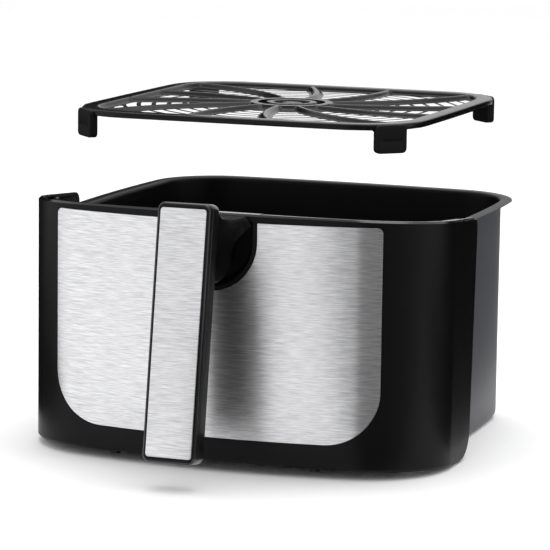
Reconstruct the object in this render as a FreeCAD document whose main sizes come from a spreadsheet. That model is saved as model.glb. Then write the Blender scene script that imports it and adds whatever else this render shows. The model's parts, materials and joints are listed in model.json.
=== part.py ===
"""Drawer of an air fryer with its lift-out crisper tray, as a parametric FreeCAD document.

Millimetres, +Z up, -Y towards the user. The origin is the middle of the basket's underside.
Formulas are written with the names in SIZES; angles are in degrees.
"""
import math
import os
import re

import FreeCAD
import Part
import Sketcher
from FreeCAD import Placement, Rotation, Vector

SIZES = {
    # Basket, a drawn pan whose rim is the widest line round it
    "rim_width": 282.0,
    "rim_depth": 276.0,
    "rim_corner": 53.0,
    "side_radius": 1300.0,
    "rim_flange": 8.2,
    "rim_bevel": 3.0,
    "rim_height": 161.0,
    "pan_sheet": 1.2,
    "floor_bevel": 4.0,
    # Front cover, bowed, with wings that run back beside the basket
    "side_gap": 9.0,
    "front_gap": 21.0,
    "front_radius": 482.0,
    "cover_corner": 63.0,
    "cover_wall": 3.0,
    "cover_rise": 14.5,
    "cover_foot": 7.0,
    "top_fall": 4.6,
    "bottom_fall": 4.0,
    "wing_top": 36.0,
    "wing_foot": 45.5,
    "wing_top_round": 7.0,
    "wing_foot_round": 20.0,
    "cover_bevel": 1.4,
    # Finger scoop in the cover, under a ledge
    "ledge": 5.0,
    "scoop_drop": 19.0,
    "scoop_lip": 3.0,
    "scoop_depth": 10.0,
    "scoop_bevel": 4.0,
    # Steel fascia in its recess
    "fascia_side": 33.5,
    "fascia_top": 6.0,
    "fascia_foot": 16.2,
    "fascia_corner": 36.0,
    "fascia_tip": 4.0,
    "fascia_notch": 34.0,
    "fascia_sheet": 1.0,
    "recess_depth": 1.5,
    "recess_gap": 0.6,
    "film": 0.15,
    "film_clear": 0.08,
    "film_margin": 4.0,
    # Inner frame between the cover and the basket
    "frame_gap": 1.5,
    "frame_fit": 0.3,
    "frame_wall": 2.5,
    "frame_drop": 0.8,
    "frame_end": 58.0,
    "frame_slab": 24.0,
    "pocket_depth": 16.0,
    "pocket_edge": 2.2,
    "pocket_width": 5.0,
    "pocket_rib": 3.0,
    "front_pocket": 18.0,
    "corner_pockets": 2,
    "boss_radius": 4.5,
    "boss_reach": 3.6,
    # Handle, two halves round a steel insert, leaning out at the foot
    "handle_reach": 38.0,
    "handle_rise": 10.6,
    "handle_lean": 8.4,
    "handle_width": 37.0,
    "handle_length": 170.0,
    "handle_corner": 5.0,
    "grip_depth": 14.0,
    "grip_bevel": 3.5,
    "bezel_depth": 6.0,
    "bezel_bevel": 1.4,
    "insert_margin": 2.3,
    "insert_end": 3.6,
    "insert_sheet": 1.0,
    "insert_corner": 2.2,
    "insert_gap": 0.2,
    "insert_recess": 1.5,
    # Neck of the handle
    "neck_width": 34.0,
    "neck_drop": 3.0,
    "neck_length": 50.0,
    "neck_bite": 8.0,
    "neck_lip": 1.1,
    "neck_root": 21.5,
    "neck_top_radius": 22.0,
    "neck_foot_radius": 27.0,
    # Basket brackets
    "bracket_place": 55.0,
    "bracket_drop": 23.0,
    "bracket_height": 46.0,
    "bracket_flange": 10.0,
    "bracket_web": 20.0,
    "bracket_sheet": 1.5,
    # Screws
    "screw_shank": 3.5,
    "screw_head": 7.0,
    "head_height": 2.2,
    "bore_clear": 0.25,
    "bore_mouth": 2.5,
    "seat_gap": 0.2,
    "bracket_screw_length": 9.0,
    "frame_screw_place": 72.0,
    "frame_screw_length": 14.0,
    "handle_screw_pitch": 18.0,
    "handle_screw_drop": 11.0,
    "handle_screw_length": 16.0,
    # Crisper tray, shown lifted above the rim
    "tray_raise": 73.5,
    "tray_side_gap": 7.1,
    "tray_end_gap": 4.1,
    "tray_corner": 47.0,
    "tray_side_radius": 5000.0,
    "tray_sheet": 1.5,
    "tray_skirt": 4.0,
    "tray_frame": 13.0,
    "tray_bevel": 1.0,
    "rib_count": 12,
    "rib_width": 8.0,
    "rib_radius": 170.0,
    "rib_sweep": 75.0,
    "rib_draft": 25.0,
    "rib_drop": 0.3,
    "hub_radius": 29.0,
    "hub_groove": 24.0,
    "hub_core": 18.0,
    "slit_count": 3,
    "slit_span": 80.0,
    "slit_margin": 0.8,
    "slot_first": 49.0,
    "slot_pitch": 11.0,
    "slot_width": 7.0,
    "slot_margin": 1.2,
    # Corner tabs of the tray and their silicone caps
    "tab_drop": 16.0,
    "tab_width": 17.0,
    "cap_width": 22.5,
    "cap_height": 19.5,
    "cap_wall": 1.8,
    "cap_back": 3.5,
    "cap_fit": 0.15,
    "cap_groove": 0.8,
    "cap_groove_drop": 8.0,
    "cap_groove_height": 1.2,
    "cap_bevel": 2.0,
    # Room that cutting tools reach past what they cut
    "spare": 10.0,
}

COVER_FRONT = "(rim_depth / 2 + front_gap)"
COVER_HALF = "(rim_width / 2 + side_gap)"
COVER_TOP = "(rim_height + cover_rise)"
SCOOP_MIDDLE = f"({COVER_TOP} - scoop_drop)"
SCOOP_TOP = f"({COVER_TOP} - ledge)"
SCOOP_HALF = "(fascia_notch - scoop_lip)"
SCOOP_BACK = f"({COVER_FRONT} - scoop_depth)"
FRAME_FACE = "(frame_gap + frame_wall)"
FILM_BACK = "(recess_depth - film_clear)"
FASCIA_BACK = f"({FILM_BACK} - film - film_clear)"
SHEET_BEVEL_STEP = "((2 - sqrt(2)) * pan_sheet)"
BRACKET_LOW = "(rim_height - bracket_drop - bracket_height)"
TRAY_TOP = "(rim_height + tray_raise)"
TRAY_HALF_WIDTH = "(rim_width / 2 - rim_flange - pan_sheet - tray_side_gap)"
TRAY_HALF_DEPTH = "(rim_depth / 2 - rim_flange - pan_sheet - tray_end_gap)"
TRAY_FLOOR = f"({TRAY_TOP} - tray_skirt)"

CLOSE = 0.01
LEFT_TURN = 1
RIGHT_TURN = -1
LEFT_SIDE = -1
RIGHT_SIDE = 1
HEAD_DOWN = Rotation(Vector(1, 0, 0), 180)
HEAD_FRONT = Rotation(Vector(1, 0, 0), 90)
HEAD_REAR = Rotation(Vector(1, 0, 0), -90)
TO_FRONT = -90

doc = FreeCAD.newDocument("drawer")
sheet = doc.addObject("Spreadsheet::Sheet", "sheet")
for row, (alias, number) in enumerate(SIZES.items(), start=1):
    sheet.set(f"A{row}", str(number))
    sheet.setAlias(f"A{row}", alias)
doc.recompute()
nodes = []


# Formulas and features

def formula(text):
    """Expression text in which each size is led by the sheet's name."""
    return re.sub(r"[a-z_]+", lambda word: f"sheet.{word[0]}" if word[0] in SIZES else word[0], text)


def value(text):
    """Present value of a formula."""
    result = sheet.evalExpression(formula(text))
    return float(getattr(result, "Value", result))


def bind(item, path, text):
    """Tie a property of a document object to a formula."""
    item.setExpression(path, formula(text))


def node(item, label):
    """Name a finished sub-part and keep it for export."""
    item.Label = label
    nodes.append(item)
    return item


def new_body(name):
    return doc.addObject("PartDesign::Body", name)


def sketch_on(body, role, height="0"):
    """Empty sketch on a plane of the body's own origin, moved along that plane's normal."""
    plane = next(item for item in body.Origin.OriginFeatures if item.Role == role)
    sketch = body.newObject("Sketcher::SketchObject", f"{body.Name}_sketch")
    sketch.AttachmentSupport = [(plane, "")]
    sketch.MapMode = "FlatFace"
    if height != "0":
        bind(sketch, "AttachmentOffset.Base.z", height)
    return sketch


def extrude(kind, body, sketch, length, taper="0", reverse=False, symmetric=False):
    """Pad or Pocket of a sketch."""
    feature = body.newObject(f"PartDesign::{kind}", f"{body.Name}_{kind.lower()}")
    feature.Profile = sketch
    bind(feature, "Length", length)
    if taper != "0":
        bind(feature, "TaperAngle", taper)
    feature.Reversed = reverse
    if symmetric:
        feature.SideType = "Symmetric"
    doc.recompute()
    return feature


def round_edges(body, edges, radius):
    """Fillet on the named edges of the body's tip."""
    base = body.Tip
    feature = body.newObject("PartDesign::Fillet", f"{body.Name}_fillet")
    feature.Base = (base, edges)
    bind(feature, "Radius", radius)
    doc.recompute()


def bevel_edges(body, edges, size):
    """Chamfer on the named edges of the body's tip."""
    base = body.Tip
    feature = body.newObject("PartDesign::Chamfer", f"{body.Name}_chamfer")
    feature.Base = (base, edges)
    bind(feature, "Size", size)
    doc.recompute()


def bevel_solid(name, base, edges, size):
    """Chamfer on the named edges of any solid."""
    item = doc.addObject("Part::Chamfer", name)
    item.Base = base
    width = value(size)
    item.Edges = [(int(edge.removeprefix("Edge")), width, width) for edge in edges]
    return item


def combine(kind, name, base, tool):
    """Part boolean of two objects: Cut, Fuse or Common."""
    item = doc.addObject(f"Part::{kind}", name)
    item.Base = base
    item.Tool = tool
    return item


def group(kind, name, items):
    """Compound or MultiFuse of several objects."""
    item = doc.addObject(f"Part::{kind}", name)
    setattr(item, "Links" if kind == "Compound" else "Shapes", items)
    return item


def edges_at(shape, test):
    """Names of the edges whose middle passes a test."""
    found = []
    for index, edge in enumerate(shape.Edges, start=1):
        middle = edge.valueAt((edge.FirstParameter + edge.LastParameter) / 2)
        if test(middle):
            found.append(f"Edge{index}")
    return found


def loop_edges(shape, height, inner):
    """Names of the edges in the inner or outer loops of the level faces at a height."""
    found = []
    for face in shape.Faces:
        box = face.BoundBox
        if max(abs(box.ZMin - height), abs(box.ZMax - height)) > CLOSE:
            continue
        for wire in face.Wires:
            if wire.isSame(face.OuterWire) == inner:
                continue
            for edge in wire.Edges:
                place = next(i for i, other in enumerate(shape.Edges, start=1) if other.isSame(edge))
                found.append(f"Edge{place}")
    return found


# Sketch outlines

def arc_between(start, end, radius, turn):
    """Arc of under half a circle from start to end that turns left or right."""
    chord = end - start
    rise = math.sqrt(radius ** 2 - (chord.Length / 2) ** 2)
    side = Vector(-chord.y, chord.x, 0).normalize()
    centre = (start + end) / 2 + side * (turn * rise)
    first, last = (start, end) if turn == LEFT_TURN else (end, start)
    angles = [math.atan2(point.y - centre.y, point.x - centre.x) for point in (first, last)]
    return Part.ArcOfCircle(Part.Circle(centre, Vector(0, 0, 1), radius), angles[0], angles[1])


def hold(sketch, kind, geometry, point, text):
    """Keep one coordinate of a point at a formula."""
    axis = -2 if kind == "DistanceX" else -1
    if text == "0":
        sketch.addConstraint(Sketcher.Constraint("PointOnObject", geometry, point, axis))
        return
    index = sketch.addConstraint(Sketcher.Constraint(kind, -1, 1, geometry, point, value(text)))
    bind(sketch, f"Constraints[{index}]", text)


def hold_radius(sketch, geometry, text):
    index = sketch.addConstraint(Sketcher.Constraint("Radius", geometry, value(text)))
    bind(sketch, f"Constraints[{index}]", text)


def outline(sketch, rows):
    """Closed outline whose corners are held at formulas.

    A row is (x, y) where a straight line leaves the corner, or (x, y, turn, radius) for an arc.
    """
    first = sketch.GeometryCount
    points = [Vector(value(row[0]), value(row[1]), 0) for row in rows]
    ends = []
    for index, row in enumerate(rows):
        start, end = points[index], points[(index + 1) % len(rows)]
        if len(row) == 2:
            sketch.addGeometry(Part.LineSegment(start, end))
            ends.append((1, 2))
        else:
            sketch.addGeometry(arc_between(start, end, value(row[3]), row[2]))
            ends.append((1, 2) if row[2] == LEFT_TURN else (2, 1))
    for index, row in enumerate(rows):
        after = (index + 1) % len(rows)
        sketch.addConstraint(
            Sketcher.Constraint("Coincident", first + index, ends[index][1], first + after, ends[after][0]))
        hold(sketch, "DistanceX", first + index, ends[index][0], row[0])
        hold(sketch, "DistanceY", first + index, ends[index][0], row[1])
        if len(row) == 4:
            hold_radius(sketch, first + index, row[3])


def rectangle(sketch, left, right, low, high, corner):
    """Rectangle, with rounded corners where a corner radius is given."""
    if corner == "0":
        outline(sketch, [(left, low), (right, low), (right, high), (left, high)])
        return
    outline(sketch, [
        (f"{left} + {corner}", low),
        (f"{right} - {corner}", low, LEFT_TURN, corner),
        (right, f"{low} + {corner}"),
        (right, f"{high} - {corner}", LEFT_TURN, corner),
        (f"{right} - {corner}", high),
        (f"{left} + {corner}", high, LEFT_TURN, corner),
        (left, f"{high} - {corner}"),
        (left, f"{low} + {corner}", LEFT_TURN, corner),
    ])


def corner_centre(half_width, half_depth, corner, radius):
    """Centre of the rear right corner of a square with bowed sides, as numbers."""
    side = Vector(half_width - radius, 0, 0)
    end = Vector(0, half_depth - radius, 0)
    apart = end - side
    across = Vector(apart.y, -apart.x, 0).normalize()
    if across.x < 0:
        across = -across
    reach = math.sqrt((radius - corner) ** 2 - (apart.Length / 2) ** 2)
    return (side + end) / 2 + across * reach


def bowed_square(sketch, half_width, half_depth, corner, radius):
    """Square with bowed sides and round corners, eight tangent arcs about the origin."""
    first = sketch.GeometryCount
    bow, small = value(radius), value(corner)
    across, along = value(half_width), value(half_depth)
    middle = corner_centre(across, along, small, bow)
    side_angle = math.atan2(middle.y, middle.x - (across - bow))
    end_angle = math.atan2(middle.y - (along - bow), middle.x)
    arcs = [
        (Vector(across - bow, 0, 0), bow, -side_angle, side_angle),
        (middle, small, side_angle, end_angle),
        (Vector(0, along - bow, 0), bow, end_angle, math.pi - end_angle),
        (Vector(-middle.x, middle.y, 0), small, math.pi - end_angle, math.pi - side_angle),
        (Vector(bow - across, 0, 0), bow, math.pi - side_angle, math.pi + side_angle),
        (Vector(-middle.x, -middle.y, 0), small, math.pi + side_angle, math.pi + end_angle),
        (Vector(0, bow - along, 0), bow, math.pi + end_angle, -end_angle),
        (Vector(middle.x, -middle.y, 0), small, -end_angle, -side_angle),
    ]
    for centre, size, start, end in arcs:
        sketch.addGeometry(Part.ArcOfCircle(Part.Circle(centre, Vector(0, 0, 1), size), start, end))
    for index in range(len(arcs)):
        after = (index + 1) % len(arcs)
        sketch.addConstraint(Sketcher.Constraint("Tangent", first + index, 2, first + after, 1))
    for index in (2, 4, 6):
        sketch.addConstraint(Sketcher.Constraint("Equal", first, first + index))
        sketch.addConstraint(Sketcher.Constraint("Equal", first + 1, first + index + 1))
    hold_radius(sketch, first, radius)
    hold_radius(sketch, first + 1, corner)
    for index, sign in ((0, ""), (4, "-")):
        hold(sketch, "DistanceX", first + index, 3, f"{sign}({half_width} - ({radius}))")
        hold(sketch, "DistanceY", first + index, 3, "0")
    for index, sign in ((2, ""), (6, "-")):
        hold(sketch, "DistanceX", first + index, 3, "0")
        hold(sketch, "DistanceY", first + index, 3, f"{sign}({half_depth} - ({radius}))")


def pan_line(sketch, inset):
    """The basket's plan line, moved in from the rim."""
    bowed_square(sketch, f"rim_width / 2 - ({inset})", f"rim_depth / 2 - ({inset})",
                 f"rim_corner - ({inset})", f"side_radius - ({inset})")


def tray_line(sketch, inset):
    """The tray's plan line, moved in from its edge."""
    bowed_square(sketch, f"{TRAY_HALF_WIDTH} - ({inset})", f"{TRAY_HALF_DEPTH} - ({inset})",
                 f"tray_corner - ({inset})", f"tray_side_radius - ({inset})")


def cover_line(sketch, inset, rear):
    """The cover's plan line: bowed front, round corners, straight wings and a line across the rear."""
    half, bow, small = f"{COVER_HALF} - ({inset})", f"front_radius - ({inset})", f"cover_corner - ({inset})"
    front_centre = value(f"front_radius - {COVER_FRONT}")
    corner_x = value(f"{COVER_HALF} - cover_corner")
    tilt = math.asin(corner_x / value("front_radius - cover_corner"))
    corner_y = front_centre - value("front_radius - cover_corner") * math.cos(tilt)
    edge, back = value(half), value(rear)
    down = -math.pi / 2
    up = Vector(0, 0, 1)
    front = Part.Circle(Vector(0, front_centre, 0), up, value(bow))
    right = Part.Circle(Vector(corner_x, corner_y, 0), up, value(small))
    left = Part.Circle(Vector(-corner_x, corner_y, 0), up, value(small))
    sketch.addGeometry(Part.ArcOfCircle(front, down - tilt, down + tilt))
    sketch.addGeometry(Part.ArcOfCircle(right, down + tilt, 0))
    sketch.addGeometry(Part.LineSegment(Vector(edge, corner_y, 0), Vector(edge, back, 0)))
    sketch.addGeometry(Part.LineSegment(Vector(edge, back, 0), Vector(-edge, back, 0)))
    sketch.addGeometry(Part.LineSegment(Vector(-edge, back, 0), Vector(-edge, corner_y, 0)))
    sketch.addGeometry(Part.ArcOfCircle(left, math.pi, down - tilt))
    for index, after in ((0, 1), (1, 2), (4, 5), (5, 0)):
        sketch.addConstraint(Sketcher.Constraint("Tangent", index, 2, after, 1))
    for index in (2, 3):
        sketch.addConstraint(Sketcher.Constraint("Coincident", index, 2, index + 1, 1))
    for kind, index in (("Vertical", 2), ("Horizontal", 3), ("Vertical", 4)):
        sketch.addConstraint(Sketcher.Constraint(kind, index))
    sketch.addConstraint(Sketcher.Constraint("Equal", 1, 5))
    hold_radius(sketch, 0, bow)
    hold_radius(sketch, 1, small)
    hold(sketch, "DistanceX", 0, 3, "0")
    hold(sketch, "DistanceY", 0, 3, f"front_radius - {COVER_FRONT}")
    hold(sketch, "DistanceX", 2, 1, half)
    hold(sketch, "DistanceX", 4, 1, f"-({half})")
    hold(sketch, "DistanceY", 3, 1, rear)


def plan_prism(name, line, low, high, *args):
    """Upright prism of a plan line between two heights."""
    body = new_body(name)
    sketch = sketch_on(body, "XY_Plane", low)
    line(sketch, *args)
    extrude("Pad", body, sketch, f"({high}) - ({low})")
    return body


def side_prism(name, rows):
    """Prism across the whole width of an outline in the YZ plane."""
    body = new_body(name)
    sketch = sketch_on(body, "YZ_Plane")
    outline(sketch, rows)
    extrude("Pad", body, sketch, f"2 * ({COVER_HALF} + spare)", symmetric=True)
    return body


def front_prism(name, draw, near, far, *args):
    """Prism along Y of an outline in the XZ plane, from near to far in front of the origin."""
    body = new_body(name)
    sketch = sketch_on(body, "XZ_Plane", near)
    draw(sketch, *args)
    extrude("Pad", body, sketch, f"({far}) - ({near})")
    return body


def u_line(sketch, half, middle, high):
    """U with a half-round foot."""
    outline(sketch, [
        (half, middle),
        (half, high),
        (f"-({half})", high),
        (f"-({half})", middle, LEFT_TURN, half),
        ("0", f"{middle} - ({half})", LEFT_TURN, half),
    ])


def cover_height(place, start, fall):
    """Height at a distance in front of the origin on a line that falls to the rear."""
    return f"({start} - ({COVER_FRONT} - ({place})) * tan({fall}))"


# Basket

def pan_block(name, inset, low, bevel):
    """Solid inside the basket's walls or moved in from them, its foot bevelled."""
    body = plan_prism(name, pan_line, low, "rim_height", f"rim_flange + ({inset})")
    bevel_edges(body, loop_edges(body.Shape, value(low), inner=False), bevel)
    return body


def make_basket():
    """Drawn pan with one sheet thickness all round: bevelled floor edge, flange, broken inner rim."""
    outside = pan_block("pan_outside", "0", "0", "floor_bevel")
    flange = sketch_on(outside, "XY_Plane", "rim_height - pan_sheet")
    pan_line(flange, "0")
    extrude("Pad", outside, flange, "pan_sheet")
    under = value("rim_height - pan_sheet")
    bevel_edges(outside, loop_edges(outside.Shape, under, inner=True), f"rim_bevel - {SHEET_BEVEL_STEP}")
    inside = pan_block("pan_inside", "pan_sheet", "pan_sheet", f"floor_bevel - {SHEET_BEVEL_STEP}")
    pan = combine("Cut", "pan", outside, inside)
    doc.recompute()
    edges = loop_edges(pan.Shape, value("rim_height"), inner=True)
    return node(bevel_solid("pan_bevelled", pan, edges, "rim_bevel"), "basket")


# Front cover, frame and fascia

def cover_shell():
    """Outer form of the front, its long edge broken in one run."""
    plan = plan_prism("cover_plan", cover_line, "-spare", f"{COVER_TOP} + spare", "0", "-wing_top + spare")
    front = f"{COVER_FRONT} + spare"
    side = side_prism("cover_side", [
        (f"-({front})", cover_height(front, "cover_foot", "bottom_fall")),
        ("-wing_foot", cover_height("wing_foot", "cover_foot", "bottom_fall")),
        ("-wing_top", cover_height("wing_top", COVER_TOP, "top_fall")),
        (f"-({front})", cover_height(front, COVER_TOP, "top_fall")),
    ])
    for place, radius in (("wing_foot", "wing_foot_round"), ("wing_top", "wing_top_round")):
        rear = -value(place)
        edges = edges_at(side.Shape, lambda p: abs(p.y - rear) < CLOSE and abs(p.x) < CLOSE)
        round_edges(side, edges, radius)
    block = combine("Common", "cover_block", plan, side)
    doc.recompute()
    half, rear = value(COVER_HALF), value("(wing_foot + wing_top) / 2")
    reach = rear - value("wing_top")
    edges = edges_at(block.Shape, lambda p: p.x > half - CLOSE and abs(p.y + rear) < reach)
    return bevel_solid("cover_shell", block, edges, "cover_bevel")


def cover_room():
    """Hollow of the cover: inside its walls, above its floor, round the scoop's boss."""
    plan = plan_prism("room_plan", cover_line, "-spare", f"{COVER_TOP} + spare", "cover_wall", "spare")
    front = f"{COVER_FRONT} + spare"
    floor = "cover_foot + cover_wall"
    side = side_prism("room_side", [
        (f"-({front})", cover_height(front, floor, "bottom_fall")),
        ("spare", cover_height("-spare", floor, "bottom_fall")),
        ("spare", f"{COVER_TOP} + spare"),
        (f"-({front})", f"{COVER_TOP} + spare"),
    ])
    boss = front_prism("scoop_boss", u_line, f"{SCOOP_BACK} - cover_wall", f"{COVER_FRONT} + spare",
                       f"{SCOOP_HALF} + cover_wall", SCOOP_MIDDLE, f"{COVER_TOP} + spare")
    return combine("Cut", "cover_room", combine("Common", "room_block", plan, side), boss)


def scoop_hollow():
    """Bowl of the finger scoop."""
    body = front_prism("scoop", u_line, SCOOP_BACK, f"{COVER_FRONT} + spare",
                       SCOOP_HALF, SCOOP_MIDDLE, SCOOP_TOP)
    back, top = -value(SCOOP_BACK), value(SCOOP_TOP)
    edges = edges_at(body.Shape, lambda p: abs(p.y - back) < CLOSE and p.z < top - CLOSE)
    bevel_edges(body, edges, "scoop_bevel")
    return body


def fascia_line(sketch, grow, tip):
    """Outline of the fascia, grown or shrunk all round, with its own radius at the upper tips."""
    half = f"({COVER_HALF} - fascia_side + ({grow}))"
    low, high = f"(cover_foot + fascia_foot - ({grow}))", f"({COVER_TOP} - fascia_top + ({grow}))"
    corner = f"(fascia_corner + ({grow}))"
    notch = f"(fascia_notch - ({grow}))"
    outline(sketch, [
        (f"-({half} - {corner})", low),
        (f"{half} - {corner}", low, LEFT_TURN, corner),
        (half, f"{low} + {corner}"),
        (half, f"{high} - {tip}", LEFT_TURN, tip),
        (f"{half} - {tip}", high),
        (notch, high),
        (notch, SCOOP_MIDDLE, RIGHT_TURN, notch),
        ("0", f"{SCOOP_MIDDLE} - {notch}", RIGHT_TURN, notch),
        (f"-{notch}", SCOOP_MIDDLE),
        (f"-{notch}", high),
        (f"-({half} - {tip})", high, LEFT_TURN, tip),
        (f"-{half}", f"{high} - {tip}"),
        (f"-{half}", f"{low} + {corner}", LEFT_TURN, corner),
    ])


def film_line(sketch, sign):
    """Upright strip of adhesive beside the scoop."""
    inner, outer = "(fascia_notch + film_margin)", f"({COVER_HALF} - fascia_side - film_margin)"
    low, high = "cover_foot + fascia_foot + fascia_corner", f"{COVER_TOP} - fascia_top - film_margin"
    corners = ((inner, low), (outer, low), (outer, high), (inner, high))
    outline(sketch, [(f"{sign}{x}", z) for x, z in corners])


def bowed_skin(name, near, far, line, *args):
    """Layer of the cover's bowed front between two depths under its surface, cut to an outline."""
    outer, inner = (plan_prism(f"{name}_{end}", cover_line, "0", f"{COVER_TOP} + spare", depth, "spare")
                    for end, depth in (("outer", near), ("inner", far)))
    shape = front_prism(f"{name}_outline", line, "spare", f"{COVER_FRONT} + spare", *args)
    return combine("Common", name, combine("Cut", f"{name}_layer", outer, inner), shape)


def basket_room(name, offset):
    """Upright prism outside the rim's line."""
    return plan_prism(name, pan_line, "-2 * spare", f"{COVER_TOP} + 2 * spare", f"-({offset})")


def make_cover():
    """Moulded shell with wings, floor, fascia recess and finger scoop."""
    cover = combine("Cut", "cover_hollowed", cover_shell(), cover_room())
    cover = combine("Cut", "cover_open", cover, basket_room("cover_basket_room", "frame_gap"))
    cover = combine("Cut", "cover_scooped", cover, scoop_hollow())
    recess = bowed_skin("recess", "-spare", "recess_depth", fascia_line,
                        "recess_gap", "(fascia_tip + recess_gap)")
    cover = combine("Cut", "cover_recessed", cover, recess)
    frame_bores = bores("cover_frame_bores", frame_seats(), "spare")
    cover = combine("Cut", "cover_bored", cover, frame_bores)
    handle_bores = bores("cover_handle_bores", handle_seats(), "spare")
    cover = combine("Cut", "cover_drilled", cover, handle_bores)
    return node(cover, "front_cover")


def make_fascia():
    """Steel skin and the strips of adhesive behind it."""
    face = f"{FASCIA_BACK} - fascia_sheet"
    node(bowed_skin("fascia", face, FASCIA_BACK, fascia_line, "0", "fascia_tip"), "fascia_plate")
    for side, sign in (("left", "-"), ("right", "")):
        label = f"fascia_adhesive_{side}"
        node(bowed_skin(f"{label}_film", f"{FILM_BACK} - film", FILM_BACK, film_line, sign), label)


def pocket_sector(name, centre, radius, start, end):
    """One upright pocket between two directions, following a curve of the cover."""
    low = value(f"{COVER_TOP} - pocket_depth")
    height = value("pocket_depth + spare")
    width = value("pocket_width")
    tools = [Part.makeCylinder(size, height, Vector(centre[0], centre[1], low), Vector(0, 0, 1), end - start)
             for size in (radius, radius - width)]
    tool = tools[0].cut(tools[1])
    tool.rotate(Vector(centre[0], centre[1], low), Vector(0, 0, 1), start)
    item = doc.addObject("Part::Feature", name)
    item.Shape = tool
    return item


def frame_pockets():
    """Pockets in the frame's top edge: a row beside the ledge and some round each corner."""
    front_centre = value(f"front_radius - {COVER_FRONT}")
    corner_x = value(f"{COVER_HALF} - cover_corner")
    join = math.degrees(math.asin(corner_x / value("front_radius - cover_corner")))
    corner_y = front_centre - value("front_radius - cover_corner") * math.cos(math.radians(join))
    inset = value("cover_wall + frame_fit + pocket_edge")
    front, corner = value("front_radius") - inset, value("cover_corner") - inset
    rib, step = value("pocket_rib"), value("front_pocket + pocket_rib")
    begin = math.degrees(math.asin(value(f"{SCOOP_HALF} + 2 * cover_wall") / front))
    count = int((join - begin) / math.degrees(step / front))
    each = (join - begin) / count
    pockets = []
    for index in range(count):
        start = begin + index * each
        end = start + each - math.degrees(rib / front)
        pockets.append(((0, front_centre), front, start + TO_FRONT, end + TO_FRONT))
        pockets.append(((0, front_centre), front, TO_FRONT - end, TO_FRONT - start))
    turn = 90 - join
    corner_count = int(value("corner_pockets"))
    for index in range(corner_count):
        start = join + index * turn / corner_count
        end = start + turn / corner_count - math.degrees(rib / corner)
        pockets.append(((corner_x, corner_y), corner, start + TO_FRONT, end + TO_FRONT))
        pockets.append(((-corner_x, corner_y), corner, TO_FRONT - end, TO_FRONT - start))
    items = [pocket_sector(f"pocket_{index}", *pocket) for index, pocket in enumerate(pockets)]
    return group("Compound", "frame_pockets", items)


def make_frame():
    """Moulded frame inside the cover: a slotted top slab, a wall round the basket and screw bosses."""
    inset = "cover_wall + frame_fit"
    front = f"{COVER_FRONT} + spare"
    floor, roof = "cover_foot + cover_wall + frame_fit", f"{COVER_TOP} - frame_drop"
    side = [
        (f"-({front})", cover_height(front, floor, "bottom_fall")),
        ("-frame_end", cover_height("frame_end", floor, "bottom_fall")),
        ("-frame_end", cover_height("frame_end", roof, "top_fall")),
        (f"-({front})", cover_height(front, roof, "top_fall")),
    ]
    high = f"{COVER_TOP} + spare"
    band = plan_prism("frame_plan", cover_line, "-spare", high, inset, "-frame_end + spare")
    under = plan_prism("frame_under", cover_line, "-2 * spare", f"{COVER_TOP} - frame_slab", "0", "spare")
    hollow = combine("Cut", "frame_hollow", under, basket_room("frame_wall_line", FRAME_FACE))
    frame = combine("Cut", "frame_slabbed", band, hollow)
    bosses = rods("frame_boss", frame_seats(), "boss_radius", "-frame_screw_length - cover_wall", "0")
    frame = group("MultiFuse", "frame_bossed", [frame] + bosses)
    frame = combine("Common", "frame_trimmed", frame, side_prism("frame_side", side))
    frame = combine("Cut", "frame_open", frame, basket_room("frame_basket_room", "frame_gap"))
    notch = front_prism("frame_notch", u_line, f"{SCOOP_BACK} - cover_wall - head_height - 2 * seat_gap",
                        f"{COVER_FRONT} + spare", f"{SCOOP_HALF} + cover_wall + frame_fit", SCOOP_MIDDLE,
                        f"{COVER_TOP} + spare")
    frame = combine("Cut", "frame_notched", frame, notch)
    frame = combine("Cut", "frame_slotted", frame, frame_pockets())
    frame = combine("Cut", "frame_bored", frame, bores("frame_bores", frame_seats(), "frame_screw_length"))
    frame = combine("Cut", "frame_drilled", frame, bores("frame_wall_bores", wall_seats(), "spare"))
    return node(frame, "inner_frame")


# Handle

def handle_place():
    """Placement of the handle's own frame: the top of the plane between its halves, leaning out."""
    base = Vector(0, -value(f"{COVER_FRONT} + handle_reach"), value(f"{COVER_TOP} + handle_rise"))
    return Placement(base, Rotation(Vector(1, 0, 0), -value("handle_lean")))


def bar_point(depth, drop):
    """Formulas for y and z of a point behind the plane between the halves and below the top."""
    y = f"-({COVER_FRONT} + handle_reach) + ({depth}) * cos(handle_lean) - ({drop}) * sin(handle_lean)"
    z = f"{COVER_TOP} + handle_rise - ({depth}) * sin(handle_lean) - ({drop}) * cos(handle_lean)"
    return y, z


def bar_body(name, inset, end, depth_from, depth, corner="0", reverse=False):
    """Upright bar in the handle's own frame."""
    body = new_body(name)
    sketch = sketch_on(body, "XZ_Plane", depth_from)
    half = f"(handle_width / 2 - ({inset}))"
    rectangle(sketch, f"-{half}", half, f"-(handle_length - ({end}))", f"-({end})", corner)
    extrude("Pad", body, sketch, depth, reverse=reverse)
    body.Placement = handle_place()
    return body


def neck_body():
    """Neck from the handle's back over the cover's edge and into the scoop."""
    body = new_body("neck")
    sketch = sketch_on(body, "YZ_Plane")
    face, back = f"-({COVER_FRONT} + seat_gap)", f"-({SCOOP_BACK} + seat_gap)"
    roof = f"{SCOOP_TOP} - seat_gap"
    outline(sketch, [
        bar_point("grip_depth - neck_bite", "neck_drop"),
        bar_point("grip_depth", "neck_drop") + (LEFT_TURN, "neck_top_radius"),
        (face, f"{COVER_TOP} - neck_lip"),
        (face, roof),
        (back, roof),
        (back, f"{SCOOP_TOP} - neck_root") + (LEFT_TURN, "neck_foot_radius"),
        bar_point("grip_depth", "neck_length"),
        bar_point("grip_depth - neck_bite", "neck_length"),
    ])
    extrude("Pad", body, sketch, "neck_width", symmetric=True)
    return body


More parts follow.
